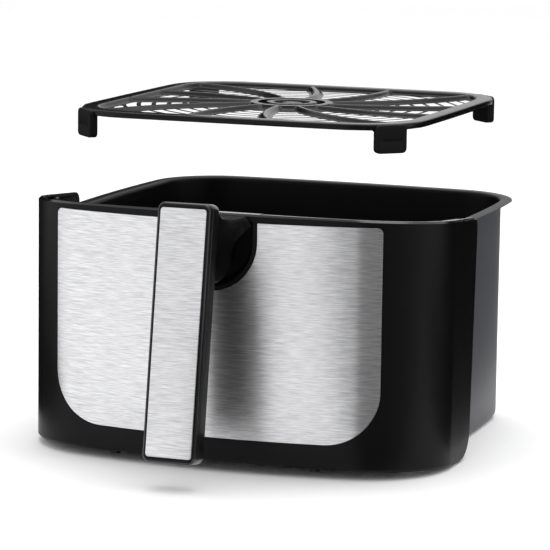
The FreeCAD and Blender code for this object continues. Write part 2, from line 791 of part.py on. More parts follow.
def flat_edges(body, depth):
    """Names of the bar's edges in its level face at a depth, before the bar is placed."""
    shape = body.Shape.copy()
    shape.Placement = Placement()
    return edges_at(shape, lambda p: abs(p.y - depth) < CLOSE)


def make_grip():
    """Rear half of the handle, with its neck."""
    bar = bar_body("grip", "0", "0", "0", "grip_depth", "handle_corner", reverse=True)
    bevel_edges(bar, flat_edges(bar, value("grip_depth")), "grip_bevel")
    grip = combine("Fuse", "grip_and_neck", bar, neck_body())
    neck_bores = bores("grip_neck_bores", handle_seats(), "handle_screw_length")
    return node(combine("Cut", "grip_bored", grip, neck_bores), "handle_grip")


def make_bezel():
    """Front half of the handle, with the insert's recess."""
    bar = bar_body("bezel", "0", "0", "0", "bezel_depth", "handle_corner")
    bevel_edges(bar, flat_edges(bar, -value("bezel_depth")), "bezel_bevel")
    room = bar_body("insert_room", "insert_margin - insert_gap", "insert_end - insert_gap",
                    "bezel_depth - insert_recess", "spare", "insert_corner + insert_gap")
    return node(combine("Cut", "bezel_recessed", bar, room), "handle_bezel")


def make_insert():
    """Steel insert of the handle and the film behind it."""
    floor = "bezel_depth - insert_recess"
    film = bar_body("insert_film", "insert_margin + film_margin", "insert_end + film_margin",
                    f"{floor} + film_clear", "film")
    node(film, "insert_adhesive")
    insert = bar_body("insert", "insert_margin", "insert_end", f"{floor} + film + 2 * film_clear",
                      "insert_sheet", "insert_corner")
    node(insert, "handle_insert")


# Brackets and screws

def wall_place(sign, offset, height):
    """Placement on the basket's bowed front line, moved out, at a bracket's middle."""
    turn = math.degrees(math.asin(value("bracket_place / side_radius")))
    middle = Vector(0, value("side_radius - rim_depth / 2"), 0)
    centre = Placement(middle, Rotation(Vector(0, 0, 1), sign * turn))
    return centre * Placement(Vector(0, -value(f"side_radius + ({offset})"), value(height)), Rotation())


def make_bracket(sign, label):
    """Hat-shaped sheet bracket between the basket's wall and the frame's wall."""
    body = new_body(f"{label}_body")
    sketch = sketch_on(body, "XY_Plane")
    web, out = "bracket_web / 2", "bracket_web / 2 + bracket_flange"
    wall, face = "-seat_gap", "-(rim_flange + frame_gap - seat_gap)"
    outline(sketch, [
        (f"-({out})", f"{wall} - bracket_sheet"),
        (f"-({web})", f"{wall} - bracket_sheet"),
        (f"-({web})", face),
        (web, face),
        (web, f"{wall} - bracket_sheet"),
        (out, f"{wall} - bracket_sheet"),
        (out, wall),
        (f"{web} - bracket_sheet", wall),
        (f"{web} - bracket_sheet", f"{face} + bracket_sheet"),
        (f"-({web} - bracket_sheet)", f"{face} + bracket_sheet"),
        (f"-({web} - bracket_sheet)", wall),
        (f"-({out})", wall),
    ])
    extrude("Pad", body, sketch, "bracket_height")
    body.Placement = wall_place(sign, "-rim_flange", BRACKET_LOW)
    bore = bores(f"{label}_bores", [wall_seat(sign)], "spare")
    return node(combine("Cut", f"{label}_bored", body, bore), label)


def wall_seat(sign):
    """Seat of one bracket's screw on the frame's wall, head to the front."""
    place = wall_place(sign, f"{FRAME_FACE} + seat_gap", f"{BRACKET_LOW} + bracket_height / 2")
    return place * Placement(Vector(), HEAD_FRONT)


def wall_seats():
    return [wall_seat(LEFT_SIDE), wall_seat(RIGHT_SIDE)]


def frame_seats():
    """Seats of the screws that hold the cover to the frame, from below."""
    line = f"sqrt((side_radius + {FRAME_FACE})^2 - frame_screw_place^2) - side_radius + rim_depth / 2"
    place = f"({line} + boss_reach)"
    tilt = "seat_gap + screw_head / 2 * tan(bottom_fall)"
    low = value(f"{cover_height(place, 'cover_foot', 'bottom_fall')} - ({tilt})")
    return [Placement(Vector(side * value("frame_screw_place"), -value(place), low), HEAD_DOWN)
            for side in (LEFT_SIDE, RIGHT_SIDE)]


def handle_seats():
    """Seats of the screws behind the scoop that hold the neck."""
    back, height = value(f"{SCOOP_BACK} - cover_wall - seat_gap"), value(f"{SCOOP_TOP} - handle_screw_drop")
    return [Placement(Vector(side * value("handle_screw_pitch / 2"), -back, height), HEAD_REAR)
            for side in (LEFT_SIDE, RIGHT_SIDE)]


def rods(name, places, radius, low, high):
    """Cylinders along the Z of each placement, from low to high."""
    items = []
    for index, place in enumerate(places):
        rod = doc.addObject("Part::Cylinder", f"{name}_{index}")
        bind(rod, "Radius", radius)
        bind(rod, "Height", f"({high}) - ({low})")
        rod.Placement = place * Placement(Vector(0, 0, value(low)), Rotation())
        items.append(rod)
    return items


def bores(name, seats, length):
    """Holes for the shanks of screws."""
    low, high = f"-({length}) - bore_clear", "bore_mouth"
    return group("Compound", f"{name}_set", rods(name, seats, "screw_shank / 2 + bore_clear", low, high))


def make_screws(label, seats, length):
    """Group of hexagon-head screws, each one solid."""
    shanks = rods(f"{label}_shank", seats, "screw_shank / 2", f"-({length})", "head_height / 2")
    screws = []
    for index, (seat, shank) in enumerate(zip(seats, shanks)):
        head = doc.addObject("Part::Prism", f"{label}_head_{index}")
        bind(head, "Circumradius", "screw_head / 2")
        bind(head, "Height", "head_height")
        head.Placement = seat
        screws.append(combine("Fuse", f"{label}_{index}", head, shank))
    return node(group("Compound", f"{label}_group", screws), label)


# Crisper tray

def tray_sheet():
    """Cast frame of the tray: a thick edge round a sunken field."""
    body = plan_prism("tray_frame_body", tray_line, TRAY_FLOOR, TRAY_TOP, "0")
    bevel_edges(body, loop_edges(body.Shape, value(TRAY_TOP), inner=False), "tray_bevel")
    field = sketch_on(body, "XY_Plane", TRAY_TOP)
    tray_line(field, "tray_frame")
    extrude("Pocket", body, field, "tray_skirt - tray_sheet")
    return body


def rib_star():
    """Swirled ribs: one drafted arc, repeated about the hub and trimmed to the field."""
    body = new_body("rib_star")
    sketch = sketch_on(body, "XY_Plane", f"{TRAY_FLOOR} + tray_sheet / 2")
    near, far = "(rib_radius - rib_width / 2)", "(rib_radius + rib_width / 2)"
    outline(sketch, [
        ("hub_groove", f"rib_radius - {far}", LEFT_TURN, far),
        (f"hub_groove + {far} * sin(rib_sweep)", f"rib_radius - {far} * cos(rib_sweep)"),
        (f"hub_groove + {near} * sin(rib_sweep)", f"rib_radius - {near} * cos(rib_sweep)", RIGHT_TURN, near),
        ("hub_groove", f"rib_radius - {near}"),
    ])
    rib = extrude("Pad", body, sketch, "tray_skirt - tray_sheet / 2 - rib_drop", taper="-rib_draft")
    pattern = body.newObject("PartDesign::PolarPattern", "rib_pattern")
    pattern.Originals = [rib]
    pattern.Axis = (next(item for item in body.Origin.OriginFeatures if item.Role == "Z_Axis"), [""])
    pattern.Angle = 360
    bind(pattern, "Occurrences", "rib_count")
    body.Tip = pattern
    field = plan_prism("rib_field", tray_line, TRAY_FLOOR, TRAY_TOP, "tray_frame - tray_sheet / 2")
    return combine("Common", "ribs", body, field)


def hub():
    """Round hub: a raised ring, a groove and a core."""
    body = new_body("hub")
    sketch = sketch_on(body, "XZ_Plane")
    low, groove, top = TRAY_FLOOR, f"{TRAY_FLOOR} + tray_sheet", f"{TRAY_TOP} - rib_drop"
    outline(sketch, [
        ("0", low),
        ("hub_radius", low),
        ("hub_radius", top),
        ("hub_groove", top),
        ("hub_groove", groove),
        ("hub_core", groove),
        ("hub_core", top),
        ("0", top),
    ])
    ring = body.newObject("PartDesign::Revolution", "hub_ring")
    ring.Profile = sketch
    ring.ReferenceAxis = (sketch, ["V_Axis"])
    ring.Angle = 360
    return body


def corner_bar(name, profile, width, place):
    """Bar across a corner of the tray, from an outline of distance along the bisector and height."""
    body = new_body(name)
    sketch = sketch_on(body, "XZ_Plane")
    outline(sketch, profile)
    extrude("Pad", body, sketch, width, symmetric=True)
    body.Placement = place
    return body


def corner_places():
    """Name and placement of each of the tray's corners, with X along the corner's bisector."""
    centre = corner_centre(value(TRAY_HALF_WIDTH), value(TRAY_HALF_DEPTH), value("tray_corner"),
                           value("tray_side_radius"))
    corners = {"rear_right": (1, 1), "rear_left": (-1, 1), "front_left": (-1, -1), "front_right": (1, -1)}
    ahead = Vector(1, 0, 0)
    return {name: Placement(Vector(x * centre.x, y * centre.y, 0), Rotation(ahead, Vector(x, y, 0)))
            for name, (x, y) in corners.items()}


def slot_shape(distance, angle):
    """One rung-shaped slot across the space between two ribs, at a distance along its middle line."""
    bend, start = value("rib_radius"), value("hub_groove")
    half_gap = math.pi / value("rib_count")
    spare = value("rib_width / 2 + slot_margin")
    low, height = value(f"{TRAY_FLOOR} - spare"), value("tray_skirt + spare")
    corners = []
    for edge, sides in ((-0.5, (-1, 1)), (0.5, (1, -1))):
        turn = (distance - start + edge * value("slot_width")) / bend
        middle = Vector(start + bend * math.sin(turn), bend * (1 - math.cos(turn)), low)
        slant = turn - math.atan2(middle.y, middle.x)
        reach = math.hypot(middle.x, middle.y) * math.sin(half_gap) * math.cos(slant) - spare
        across = Vector(-math.sin(turn), math.cos(turn), 0)
        corners += [middle + across * (side * reach) for side in sides]
    shape = Part.Face(Part.makePolygon(corners + corners[:1])).extrude(Vector(0, 0, height))
    shape.rotate(Vector(), Vector(0, 0, 1), angle)
    return shape


def tray_slots():
    """Slots between the ribs and arc slits in the hub's groove."""
    count, first, pitch = int(value("rib_count")), value("slot_first"), value("slot_pitch")
    field = plan_prism("slot_field", tray_line, f"{TRAY_FLOOR} - spare", f"{TRAY_TOP} + spare",
                       "tray_frame + slot_margin")
    doc.recompute()
    steps = int(math.hypot(value(TRAY_HALF_WIDTH), value(TRAY_HALF_DEPTH)) / pitch)
    least = value("slot_width * slot_width") * value("tray_sheet + spare")
    shapes = []
    for index in range(count):
        for step in range(steps):
            slot = slot_shape(first + step * pitch, (index + 0.5) * 360 / count)
            cut_slot = slot.common(field.Shape)
            if cut_slot.Volume > least:
                shapes += cut_slot.Solids
    low, height = value(f"{TRAY_FLOOR} - spare"), value("tray_skirt + spare")
    span, margin, slits = value("slit_span"), value("slit_margin"), int(value("slit_count"))
    for index in range(slits):
        rings = [Part.makeCylinder(size, height, Vector(0, 0, low), Vector(0, 0, 1), span)
                 for size in (value("hub_groove") - margin, value("hub_core") + margin)]
        slit = rings[0].cut(rings[1])
        slit.rotate(Vector(), Vector(0, 0, 1), index * 360 / slits)
        shapes.append(slit)
    item = doc.addObject("Part::Feature", "tray_slots")
    item.Shape = Part.makeCompound(shapes)
    return item


def make_tray():
    """Crisper plate with its corner tabs."""
    inner = "(tray_corner - tray_sheet)"
    tab = [
        (inner, f"{TRAY_TOP} - tab_drop"),
        ("tray_corner", f"{TRAY_TOP} - tab_drop"),
        ("tray_corner", f"{TRAY_TOP} - tray_skirt / 2"),
        (inner, f"{TRAY_TOP} - tray_skirt / 2"),
    ]
    tabs = [corner_bar(f"tab_{name}", tab, "tab_width", place) for name, place in corner_places().items()]
    plate = group("MultiFuse", "tray_fused", [tray_sheet(), rib_star(), hub()] + tabs)
    node(combine("Cut", "tray_cut", plate, tray_slots()), "crisper_plate")


def make_caps():
    """Silicone cap on each corner tab of the tray, with a slit across its face."""
    inner = "(tray_corner - tray_sheet)"
    outer, back = "(tray_corner + cap_fit + cap_wall)", f"({inner} - cap_fit - cap_back)"
    low, lip = f"{TRAY_TOP} - cap_height", f"{TRAY_TOP} - rib_drop"
    bed, ledge = f"{TRAY_TOP} - tab_drop - cap_fit", f"{TRAY_TOP} - tray_skirt - cap_fit"
    groove = f"{TRAY_TOP} - cap_groove_drop"
    cap = [
        (back, low),
        (f"{outer} - cap_bevel", low),
        (outer, f"{low} + cap_bevel"),
        (outer, f"{groove} - cap_groove_height"),
        (f"{outer} - cap_groove", f"{groove} - cap_groove_height"),
        (f"{outer} - cap_groove", groove),
        (outer, groove),
        (outer, lip),
        ("tray_corner + cap_fit", lip),
        ("tray_corner + cap_fit", bed),
        (f"{inner} - cap_fit", bed),
        (f"{inner} - cap_fit", ledge),
        (back, ledge),
    ]
    for name, place in corner_places().items():
        node(corner_bar(f"cap_{name}", cap, "cap_width", place), f"corner_cap_{name}")


# Build, check and export

def main():
    make_basket()
    make_cover()
    make_fascia()
    make_frame()
    make_grip()
    make_bezel()
    make_insert()
    make_bracket(LEFT_SIDE, "bracket_left")
    make_bracket(RIGHT_SIDE, "bracket_right")
    make_screws("bracket_screws", wall_seats(), "bracket_screw_length")
    make_screws("frame_screws", frame_seats(), "frame_screw_length")
    make_screws("handle_screws", handle_seats(), "handle_screw_length")
    make_tray()
    make_caps()
    doc.recompute()

    for item in doc.Objects:
        if "Invalid" in item.State or "Error" in item.State:
            raise RuntimeError(f"{item.Label} failed to build: {item.State}")
    os.makedirs("parts", exist_ok=True)
    for item in nodes:
        if item.Shape.isNull() or not item.Shape.isValid():
            raise RuntimeError(f"{item.Label} has no valid shape")
        item.Shape.exportStep(f"parts/{item.Label}.step")


main()
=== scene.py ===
"""Looks of an air fryer drawer with its crisper tray lifted out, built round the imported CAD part.

Metres, in the part's own frame: the origin is the middle of the basket's underside, +Z is up
and -Y is the front. The sub-assemblies hold their sizes in millimetres.
"""
from __future__ import annotations

import json
import logging
import math
from collections.abc import Iterable, Sequence
from dataclasses import dataclass, field
from enum import Enum
from typing import Any, Union

import bmesh
import bpy
from mathutils import Matrix, Vector

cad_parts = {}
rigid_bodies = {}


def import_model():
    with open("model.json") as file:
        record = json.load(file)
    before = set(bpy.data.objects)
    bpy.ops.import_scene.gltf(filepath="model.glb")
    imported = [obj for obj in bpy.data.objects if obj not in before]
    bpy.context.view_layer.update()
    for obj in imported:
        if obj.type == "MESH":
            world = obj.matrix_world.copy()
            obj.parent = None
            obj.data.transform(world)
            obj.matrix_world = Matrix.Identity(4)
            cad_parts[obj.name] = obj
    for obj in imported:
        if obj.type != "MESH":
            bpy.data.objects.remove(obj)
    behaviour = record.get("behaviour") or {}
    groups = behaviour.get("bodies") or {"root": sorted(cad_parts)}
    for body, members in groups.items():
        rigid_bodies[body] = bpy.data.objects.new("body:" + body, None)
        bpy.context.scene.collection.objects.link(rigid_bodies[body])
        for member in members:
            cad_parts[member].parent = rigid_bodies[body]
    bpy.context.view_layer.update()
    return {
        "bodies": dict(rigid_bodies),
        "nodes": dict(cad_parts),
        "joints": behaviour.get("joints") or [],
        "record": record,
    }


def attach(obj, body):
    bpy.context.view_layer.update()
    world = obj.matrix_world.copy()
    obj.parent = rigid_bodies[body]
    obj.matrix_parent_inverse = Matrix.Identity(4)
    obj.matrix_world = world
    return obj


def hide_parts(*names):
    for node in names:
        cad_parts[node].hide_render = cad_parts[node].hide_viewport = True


LOG = logging.getLogger("drawer")
MM = 0.001
CAD_WELD = 1e-6  # metres within which two points of a CAD mesh are one
ROW_WELD = 2e-6  # metres within which two points of the tray's rows are one
FLAT_ANGLE = 0.4  # degrees under which neighbouring CAD facets are one face

Number = Union[int, float]
Pair = tuple[float, float]
Triple = tuple[float, float, float]
Colour = Triple
Place = Triple
Ring = list[Vector]
Nodes = dict[str, bpy.types.Object]


class BodyName(Enum):
    """Moving bodies of the part."""

    DRAWER = "drawer"
    TRAY = "tray"


class Slot(Enum):
    """Material slots of the part's record."""

    PAN = "pan_coating"
    COVER = "cover_plastic"
    FRAME = "frame_plastic"
    HANDLE = "handle_plastic"
    STEEL = "brushed_plate"
    PLATED = "plated_steel"
    TRAY = "tray_coating"
    SILICONE = "silicone"


# Shader maths

class Shade:
    """Socket of a material's node tree; arithmetic on it adds Math nodes."""

    def __init__(self, paint: "Paint", socket: bpy.types.NodeSocket) -> None:
        """Keep the socket and the tree it belongs to."""
        self.paint = paint
        self.socket = socket

    def _math(self, operation: str, first: "Value", second: "Value") -> "Shade":
        """Math node on two values."""
        return self.paint.node("ShaderNodeMath", {"operation": operation}, {0: first, 1: second})

    def __add__(self, other: "Value") -> "Shade":
        """Sum."""
        return self._math("ADD", self, other)

    def __radd__(self, other: "Value") -> "Shade":
        """Reflected sum."""
        return self._math("ADD", other, self)

    def __mul__(self, other: "Value") -> "Shade":
        """Product."""
        return self._math("MULTIPLY", self, other)

    def __rmul__(self, other: "Value") -> "Shade":
        """Reflected product."""
        return self._math("MULTIPLY", other, self)


Value = Union[Shade, Number, Sequence[float]]


class Paint:
    """One material's node tree round a Principled shader."""

    def __init__(self, name: str) -> None:
        """Make the material and find its shader.

        Args:
            name: Name of the material.
        """
        self.material = bpy.data.materials.new(name)
        self.material.use_nodes = True
        self.tree = self.material.node_tree
        self.shader = self.tree.nodes["Principled BSDF"]

    def node(self, kind: str, settings: dict[str, Any], inputs: dict[Union[str, int], Value],
             output: Union[str, int] = 0) -> Shade:
        """Add a node.

        Args:
            kind: Type of the node.
            settings: Its properties, set first; "stops" holds the stops of a colour ramp.
            inputs: Values or links of its sockets, by name or number.
            output: Socket that is handed back.

        Returns:
            The chosen output.
        """
        item = self.tree.nodes.new(kind)
        for key, setting in settings.items():
            if key == "stops":
                self._stops(item.color_ramp, setting)
            else:
                setattr(item, key, setting)
        for key, value in inputs.items():
            self._feed(item.inputs[key], value)
        return Shade(self, item.outputs[output])

    @staticmethod
    def _stops(ramp: bpy.types.ColorRamp, stops: Sequence[Pair]) -> None:
        """Set a ramp's stops.

        Args:
            ramp: The ramp.
            stops: Place and grey level of each stop.
        """
        while len(ramp.elements) < len(stops):
            ramp.elements.new(1.0)
        for element, (place, level) in zip(ramp.elements, stops):
            element.position = place
            element.color = (level, level, level, 1.0)

    def _feed(self, socket: bpy.types.NodeSocket, value: Value) -> None:
        """Link a socket or set its own value.

        Args:
            socket: The socket.
            value: What it is linked to or set to.
        """
        if isinstance(value, Shade):
            self.tree.links.new(value.socket, socket)
        else:
            socket.default_value = value

    def noise(self, scale: Union[float, Sequence[float]], detail: float,
              roughness: float = 0.5) -> Shade:
        """Noise from 0 to 1 over the object's own position.

        Args:
            scale: Grains to a metre, for each axis or for all.
            detail: Octaves of finer noise.
            roughness: Weight of the finer octaves.

        Returns:
            The noise.
        """
        axes = (scale,) * 3 if isinstance(scale, float) else tuple(scale)
        spot = self.node("ShaderNodeTexCoord", {}, {}, "Object")
        place = self.node("ShaderNodeVectorMath", {"operation": "MULTIPLY"}, {0: spot, 1: axes})
        return self.node("ShaderNodeTexNoise", {}, {
            "Vector": place, "Scale": 1.0, "Detail": detail, "Roughness": roughness})

    def steepen(self, value: Shade, low: float, high: float) -> Shade:
        """Grey level of a value that goes from 0 to 1 between two bounds."""
        return self.node("ShaderNodeValToRGB", {"stops": [(low, 0.0), (high, 1.0)]}, {"Fac": value})

    def blend(self, share: Shade, low: Colour, high: Colour) -> Shade:
        """Colour between two, by a share."""
        return self.node("ShaderNodeMix", {"data_type": "RGBA"},
                         {"Factor": share, 6: (*low, 1.0), 7: (*high, 1.0)}, 2)

    def bump(self, height: Shade, strength: float, distance: float) -> Shade:
        """Normal of a height over the surface."""
        return self.node("ShaderNodeBump", {},
                         {"Height": height, "Strength": strength, "Distance": distance})

    def finish(self, **inputs: Value) -> bpy.types.Material:
        """Set the shader's sockets.

        Args:
            inputs: Values or links by the sockets' names, with underscores for spaces.

        Returns:
            The finished material.
        """
        for key, value in inputs.items():
            self._feed(self.shader.inputs[key.replace("_", " ")], value)
        return self.material


# Finishes. Scales are grains to a metre; relief is a bump's strength and its height in metres.

def tint(colour: Colour, share: float) -> Colour:
    """Colour times a share, up to white."""
    return tuple(min(1.0, part * share) for part in colour)


@dataclass(frozen=True)
class MouldedPlastic:
    """Satin moulded plastic with a fine spark grain and slight gloss changes."""

    name: str
    colour: Colour
    roughness: float
    gloss: float
    cloud: float = 38.0
    grain: float = 2600.0
    tones: Pair = (0.8, 1.25)
    swing: float = 0.1
    relief: Pair = (0.12, 0.00012)

    def material(self) -> bpy.types.Material:
        """Build the material.

        Returns:
            The material.
        """
        paint = Paint(self.name)
        cloud = paint.noise(self.cloud, detail=3.0)
        grain = paint.noise(self.grain, detail=2.0)
        dark, light = (tint(self.colour, tone) for tone in self.tones)
        return paint.finish(
            Base_Color=paint.blend(cloud, dark, light),
            Roughness=self.roughness - self.swing / 2 + self.swing * cloud,
            Specular_IOR_Level=self.gloss,
            Normal=paint.bump(grain, *self.relief),
        )


@dataclass(frozen=True)
class BrushedSteel:
    """Stainless sheet brushed along X: long fine streaks in tone, gloss and height.

    A streak's length and width are in metres. Hairs are so many times finer than the streaks,
    and sweeps so many times coarser, along and across.
    """

    name: str
    dark: Colour
    light: Colour
    roughness: float
    anisotropy: float
    length: float = 0.011
    width: float = 0.0005
    finer: Pair = (3.0, 3.3)
    coarser: Pair = (5.0, 6.0)
    tone_shares: Triple = (0.62, 0.33, 0.05)
    tone_bounds: Pair = (0.36, 0.64)
    ridge_shares: Pair = (0.6, 0.4)
    swing: float = 0.1
    across_x: float = 0.25
    relief: Pair = (0.22, 0.00012)

    def material(self) -> bpy.types.Material:
        """Build the material.

        Returns:
            The material.
        """
        paint = Paint(self.name)
        along, across = 1 / self.length, 1 / self.width
        fine_along, fine_across = self.finer[0] * along, self.finer[1] * across
        wide_along, wide_across = along / self.coarser[0], across / self.coarser[1]
        streak = paint.noise((along, along, across), detail=1.0)
        hair = paint.noise((fine_along, fine_along, fine_across), detail=2.0, roughness=0.6)
        sweep = paint.noise((wide_along, wide_along, wide_across), detail=1.0)
        first, second, third = self.tone_shares
        tone = paint.steepen(first * streak + second * hair + third * sweep, *self.tone_bounds)
        ridge, scratch = self.ridge_shares
        return paint.finish(
            Base_Color=paint.blend(tone, self.dark, self.light),
            Metallic=1.0,
            Roughness=self.roughness - self.swing / 2 + self.swing * streak,
            Anisotropic=self.anisotropy,
            Anisotropic_Rotation=self.across_x,
            Normal=paint.bump(ridge * streak + scratch * hair, *self.relief),
        )


@dataclass(frozen=True)
class CoatedMetal:
    """Sprayed non-stick coating: a satin film with fine orange peel and a few specks."""

    name: str
    colour: Colour
    roughness: float
    gloss: float
    cloud: float = 24.0
    peel: float = 900.0
    speck: float = 2400.0
    speck_bounds: Pair = (0.68, 0.76)
    speck_share: float = 0.25
    tones: Pair = (0.86, 1.2)
    swing: float = 0.1
    relief: Pair = (0.1, 0.00025)

    def material(self) -> bpy.types.Material:
        """Build the material.

        Returns:
            The material.
        """
        paint = Paint(self.name)
        cloud = paint.noise(self.cloud, detail=3.0)
        peel = paint.noise(self.peel, detail=2.0)
        speck = paint.steepen(paint.noise(self.speck, detail=1.0), *self.speck_bounds)
        dark, light = (tint(self.colour, tone) for tone in self.tones)
        tone = (1 - self.speck_share) * cloud + self.speck_share * speck
        return paint.finish(
            Base_Color=paint.blend(tone, dark, light),
            Roughness=self.roughness - self.swing / 2 + self.swing * cloud,
            Specular_IOR_Level=self.gloss,
            Normal=paint.bump(peel, *self.relief),
        )


@dataclass(frozen=True)
class SoftSilicone:
    """Matt silicone with a powdery surface."""

    name: str
    colour: Colour
    roughness: float = 0.5
    gloss: float = 0.1
    powder: float = 1800.0
    cloud: float = 140.0
    chalk: float = 1.7
    swing: float = 0.14
    relief: Pair = (0.1, 0.0002)

    def material(self) -> bpy.types.Material:
        """Build the material.

        Returns:
            The material.
        """
        paint = Paint(self.name)
        powder = paint.noise(self.powder, detail=3.0)
        cloud = paint.noise(self.cloud, detail=2.0)
        tone = 0.5 * powder + 0.5 * cloud
        return paint.finish(
            Base_Color=paint.blend(tone, self.colour, tint(self.colour, self.chalk)),
            Roughness=self.roughness + self.swing * cloud,
            Specular_IOR_Level=self.gloss,
            Normal=paint.bump(powder, *self.relief),
        )


@dataclass(frozen=True)
class PlatedSteel:
    """Zinc-plated pressed steel with soft cloudy patches."""

    name: str
    dark: Colour
    light: Colour
    roughness: float = 0.28
    cloud: float = 260.0
    swing: float = 0.2
    relief: Pair = (0.08, 0.0002)

    def material(self) -> bpy.types.Material:
        """Build the material.

        Returns:
            The material.
        """
        paint = Paint(self.name)
        cloud = paint.noise(self.cloud, detail=4.0)
        return paint.finish(
            Base_Color=paint.blend(cloud, self.dark, self.light),
            Metallic=1.0,
            Roughness=self.roughness + self.swing * cloud,
            Normal=paint.bump(cloud, *self.relief),
        )


@dataclass(frozen=True)
class AdhesiveFilm:
    """Milky double-sided film with a fibrous carrier."""

    name: str
    colour: Colour
    roughness: float = 0.55
    fibre: Triple = (500.0, 500.0, 120.0)
    milk: float = 1.15
    swing: float = 0.2
    relief: Pair = (0.1, 0.0001)

    def material(self) -> bpy.types.Material:
        """Build the material.

        Returns:
            The material.
        """
        paint = Paint(self.name)
        fibre = paint.noise(self.fibre, detail=3.0)
        return paint.finish(
            Base_Color=paint.blend(fibre, self.colour, tint(self.colour, self.milk)),
            Roughness=self.roughness + self.swing * fibre,
            Normal=paint.bump(fibre, *self.relief),
        )


# Meshes

def round_steps(start: Pair, corner: Pair, end: Pair, steps: int = 6) -> list[Pair]:
    """Points of a rounded corner of a profile.

    Args:
        start: Where the round begins.
        corner: The sharp corner it takes the place of.
        end: Where the round ends.
        steps: Number of steps along it.

    Returns:
        The points from start to end.
    """
    points = []
    for step in range(steps + 1):
        turn = math.pi / 2 * step / steps
        a, b = 1 - math.sin(turn), 1 - math.cos(turn)
        points.append(tuple(corner[i] + (start[i] - corner[i]) * a + (end[i] - corner[i]) * b
                            for i in (0, 1)))
    return points


def rounded_box(half: float, high: float, low: float, corner: float, steps: int = 6) -> list[Pair]:
    """Points of an upright rounded rectangle about a middle line.

    Args:
        half: Half of its width.
        high: Height of its upper edge.
        low: Height of its lower edge.
        corner: Radius of its corners.
        steps: Steps round each corner.

    Returns:
        Points as distance across and height, anticlockwise from the upper right corner.
    """
    points = []
    arm, top, foot = half - corner, high - corner, low + corner
    for x, z, start in ((arm, top, 0), (-arm, top, 90), (-arm, foot, 180), (arm, foot, 270)):
        for step in range(steps + 1):
            turn = math.radians(start + 90 * step / steps)
            points.append((x + corner * math.cos(turn), z + corner * math.sin(turn)))
    return points


def new_object(name: str, build: bmesh.types.BMesh, sharp: float) -> bpy.types.Object:
    """Object of a finished mesh, smooth but for edges over an angle.

    Args:
        name: Name of the piece.
        build: Its mesh, which is freed.
        sharp: Angle in degrees from which an edge stays sharp.

    Returns:
        The object, in the scene.
    """
    bmesh.ops.recalc_face_normals(build, faces=build.faces[:])
    mesh = bpy.data.meshes.new(name)
    build.to_mesh(mesh)
    build.free()
    for stale in ("custom_normal", "sharp_edge", "sharp_face"):
        if stale in mesh.attributes:
            mesh.attributes.remove(mesh.attributes[stale])
    mesh.shade_smooth()
    mesh.set_sharp_from_angle(angle=math.radians(sharp))
    item = bpy.data.objects.new(name, mesh)
    bpy.context.scene.collection.objects.link(item)
    return item


def loft(name: str, rings: Sequence[Ring], sharp: float = 40.0,
         inner_from: int | None = None) -> bpy.types.Object:
    """Closed skin through rings of equal count, with both ends closed.

    Args:
        name: Name of the piece.
        rings: Rings of points in metres.
        sharp: Angle in degrees from which an edge stays sharp.
        inner_from: Ring from which faces take the second material.

    Returns:
        The object.
    """
    build = bmesh.new()
    rows = [[build.verts.new(point) for point in ring] for ring in rings]
    count = len(rows[0])
    for level, (low, high) in enumerate(zip(rows, rows[1:])):
        for i in range(count):
            after = (i + 1) % count
            face = build.faces.new((low[i], low[after], high[after], high[i]))
            face.material_index = int(inner_from is not None and level >= inner_from)
    build.faces.new(rows[0])
    build.faces.new(rows[-1]).material_index = int(inner_from is not None)
    return new_object(name, build, sharp)


def softened(node: bpy.types.Object, name: str, width: float, segments: int = 2,
             sharp: float = 35.0, round_finish: int = -1) -> bpy.types.Object:
    """Copy of a CAD node whose hard edges are rounded.

    Args:
        node: The CAD node's object.
        name: Name of the piece.
        width: Width of the round in millimetres.
        segments: Steps across each round.
        sharp: Angle in degrees from which an edge counts as hard.
        round_finish: Number of the material that the rounds take; that of their faces at -1.

    Returns:
        The object.
    """
    build = bmesh.new()
    build.from_mesh(node.data)
    bmesh.ops.remove_doubles(build, verts=build.verts[:], dist=CAD_WELD)
    bmesh.ops.dissolve_limit(build, angle_limit=math.radians(FLAT_ANGLE),
                             verts=build.verts[:], edges=build.edges[:])
    limit = math.radians(sharp)
    hard = [edge for edge in build.edges
            if len(edge.link_faces) == 2 and edge.calc_face_angle(0.0) > limit]
    bmesh.ops.bevel(build, geom=hard, offset=width * MM, offset_type="OFFSET", segments=segments,
                    profile=0.5, affect="EDGES", clamp_overlap=True, miter_outer="ARC",
                    material=round_finish)
    item = new_object(name, build, sharp)
    item.modifiers.new("flats", "WEIGHTED_NORMAL").keep_sharp = True
    return item


def highlight_rounds(item: bpy.types.Object, turn: Matrix, flat: float = 0.985) -> None:
    """Give the rounds of a box-like piece its second material, a painted highlight.

    Args:
        item: The piece.
        turn: Matrix whose axes its flat faces look along.
        flat: Share of a face's normal along an axis from which it counts as flat.
    """
    back = turn.to_3x3().inverted()
    for face in item.data.polygons:
        face.material_index = int(max(abs(part) for part in back @ face.normal) < flat)


def dress(item: bpy.types.Object, finishes: Iterable[bpy.types.Material], body: BodyName,
          slot: Slot, *nodes: str) -> None:
    """Give a piece its finishes and its body, and hide the nodes that it stands for.

    Args:
        item: The piece.
        finishes: Its materials, in slot order.
        body: Body that it rides on.
        slot: Material slot of the record; not used.
        nodes: CAD nodes that it replaces.
    """
    for finish in finishes:
        item.data.materials.append(finish)
    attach(item, body.value)
    if nodes:
        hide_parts(*nodes)
    LOG.info("%s: %d faces", item.name, len(item.data.polygons))


def repaint(node: bpy.types.Object, finish: bpy.types.Material) -> None:
    """Give a CAD node that stays in view its finish.

    Args:
        node: The node's object.
        finish: The material.
    """
    node.data.materials.clear()
    node.data.materials.append(finish)
    LOG.info("%s: kept from the CAD", node.name)


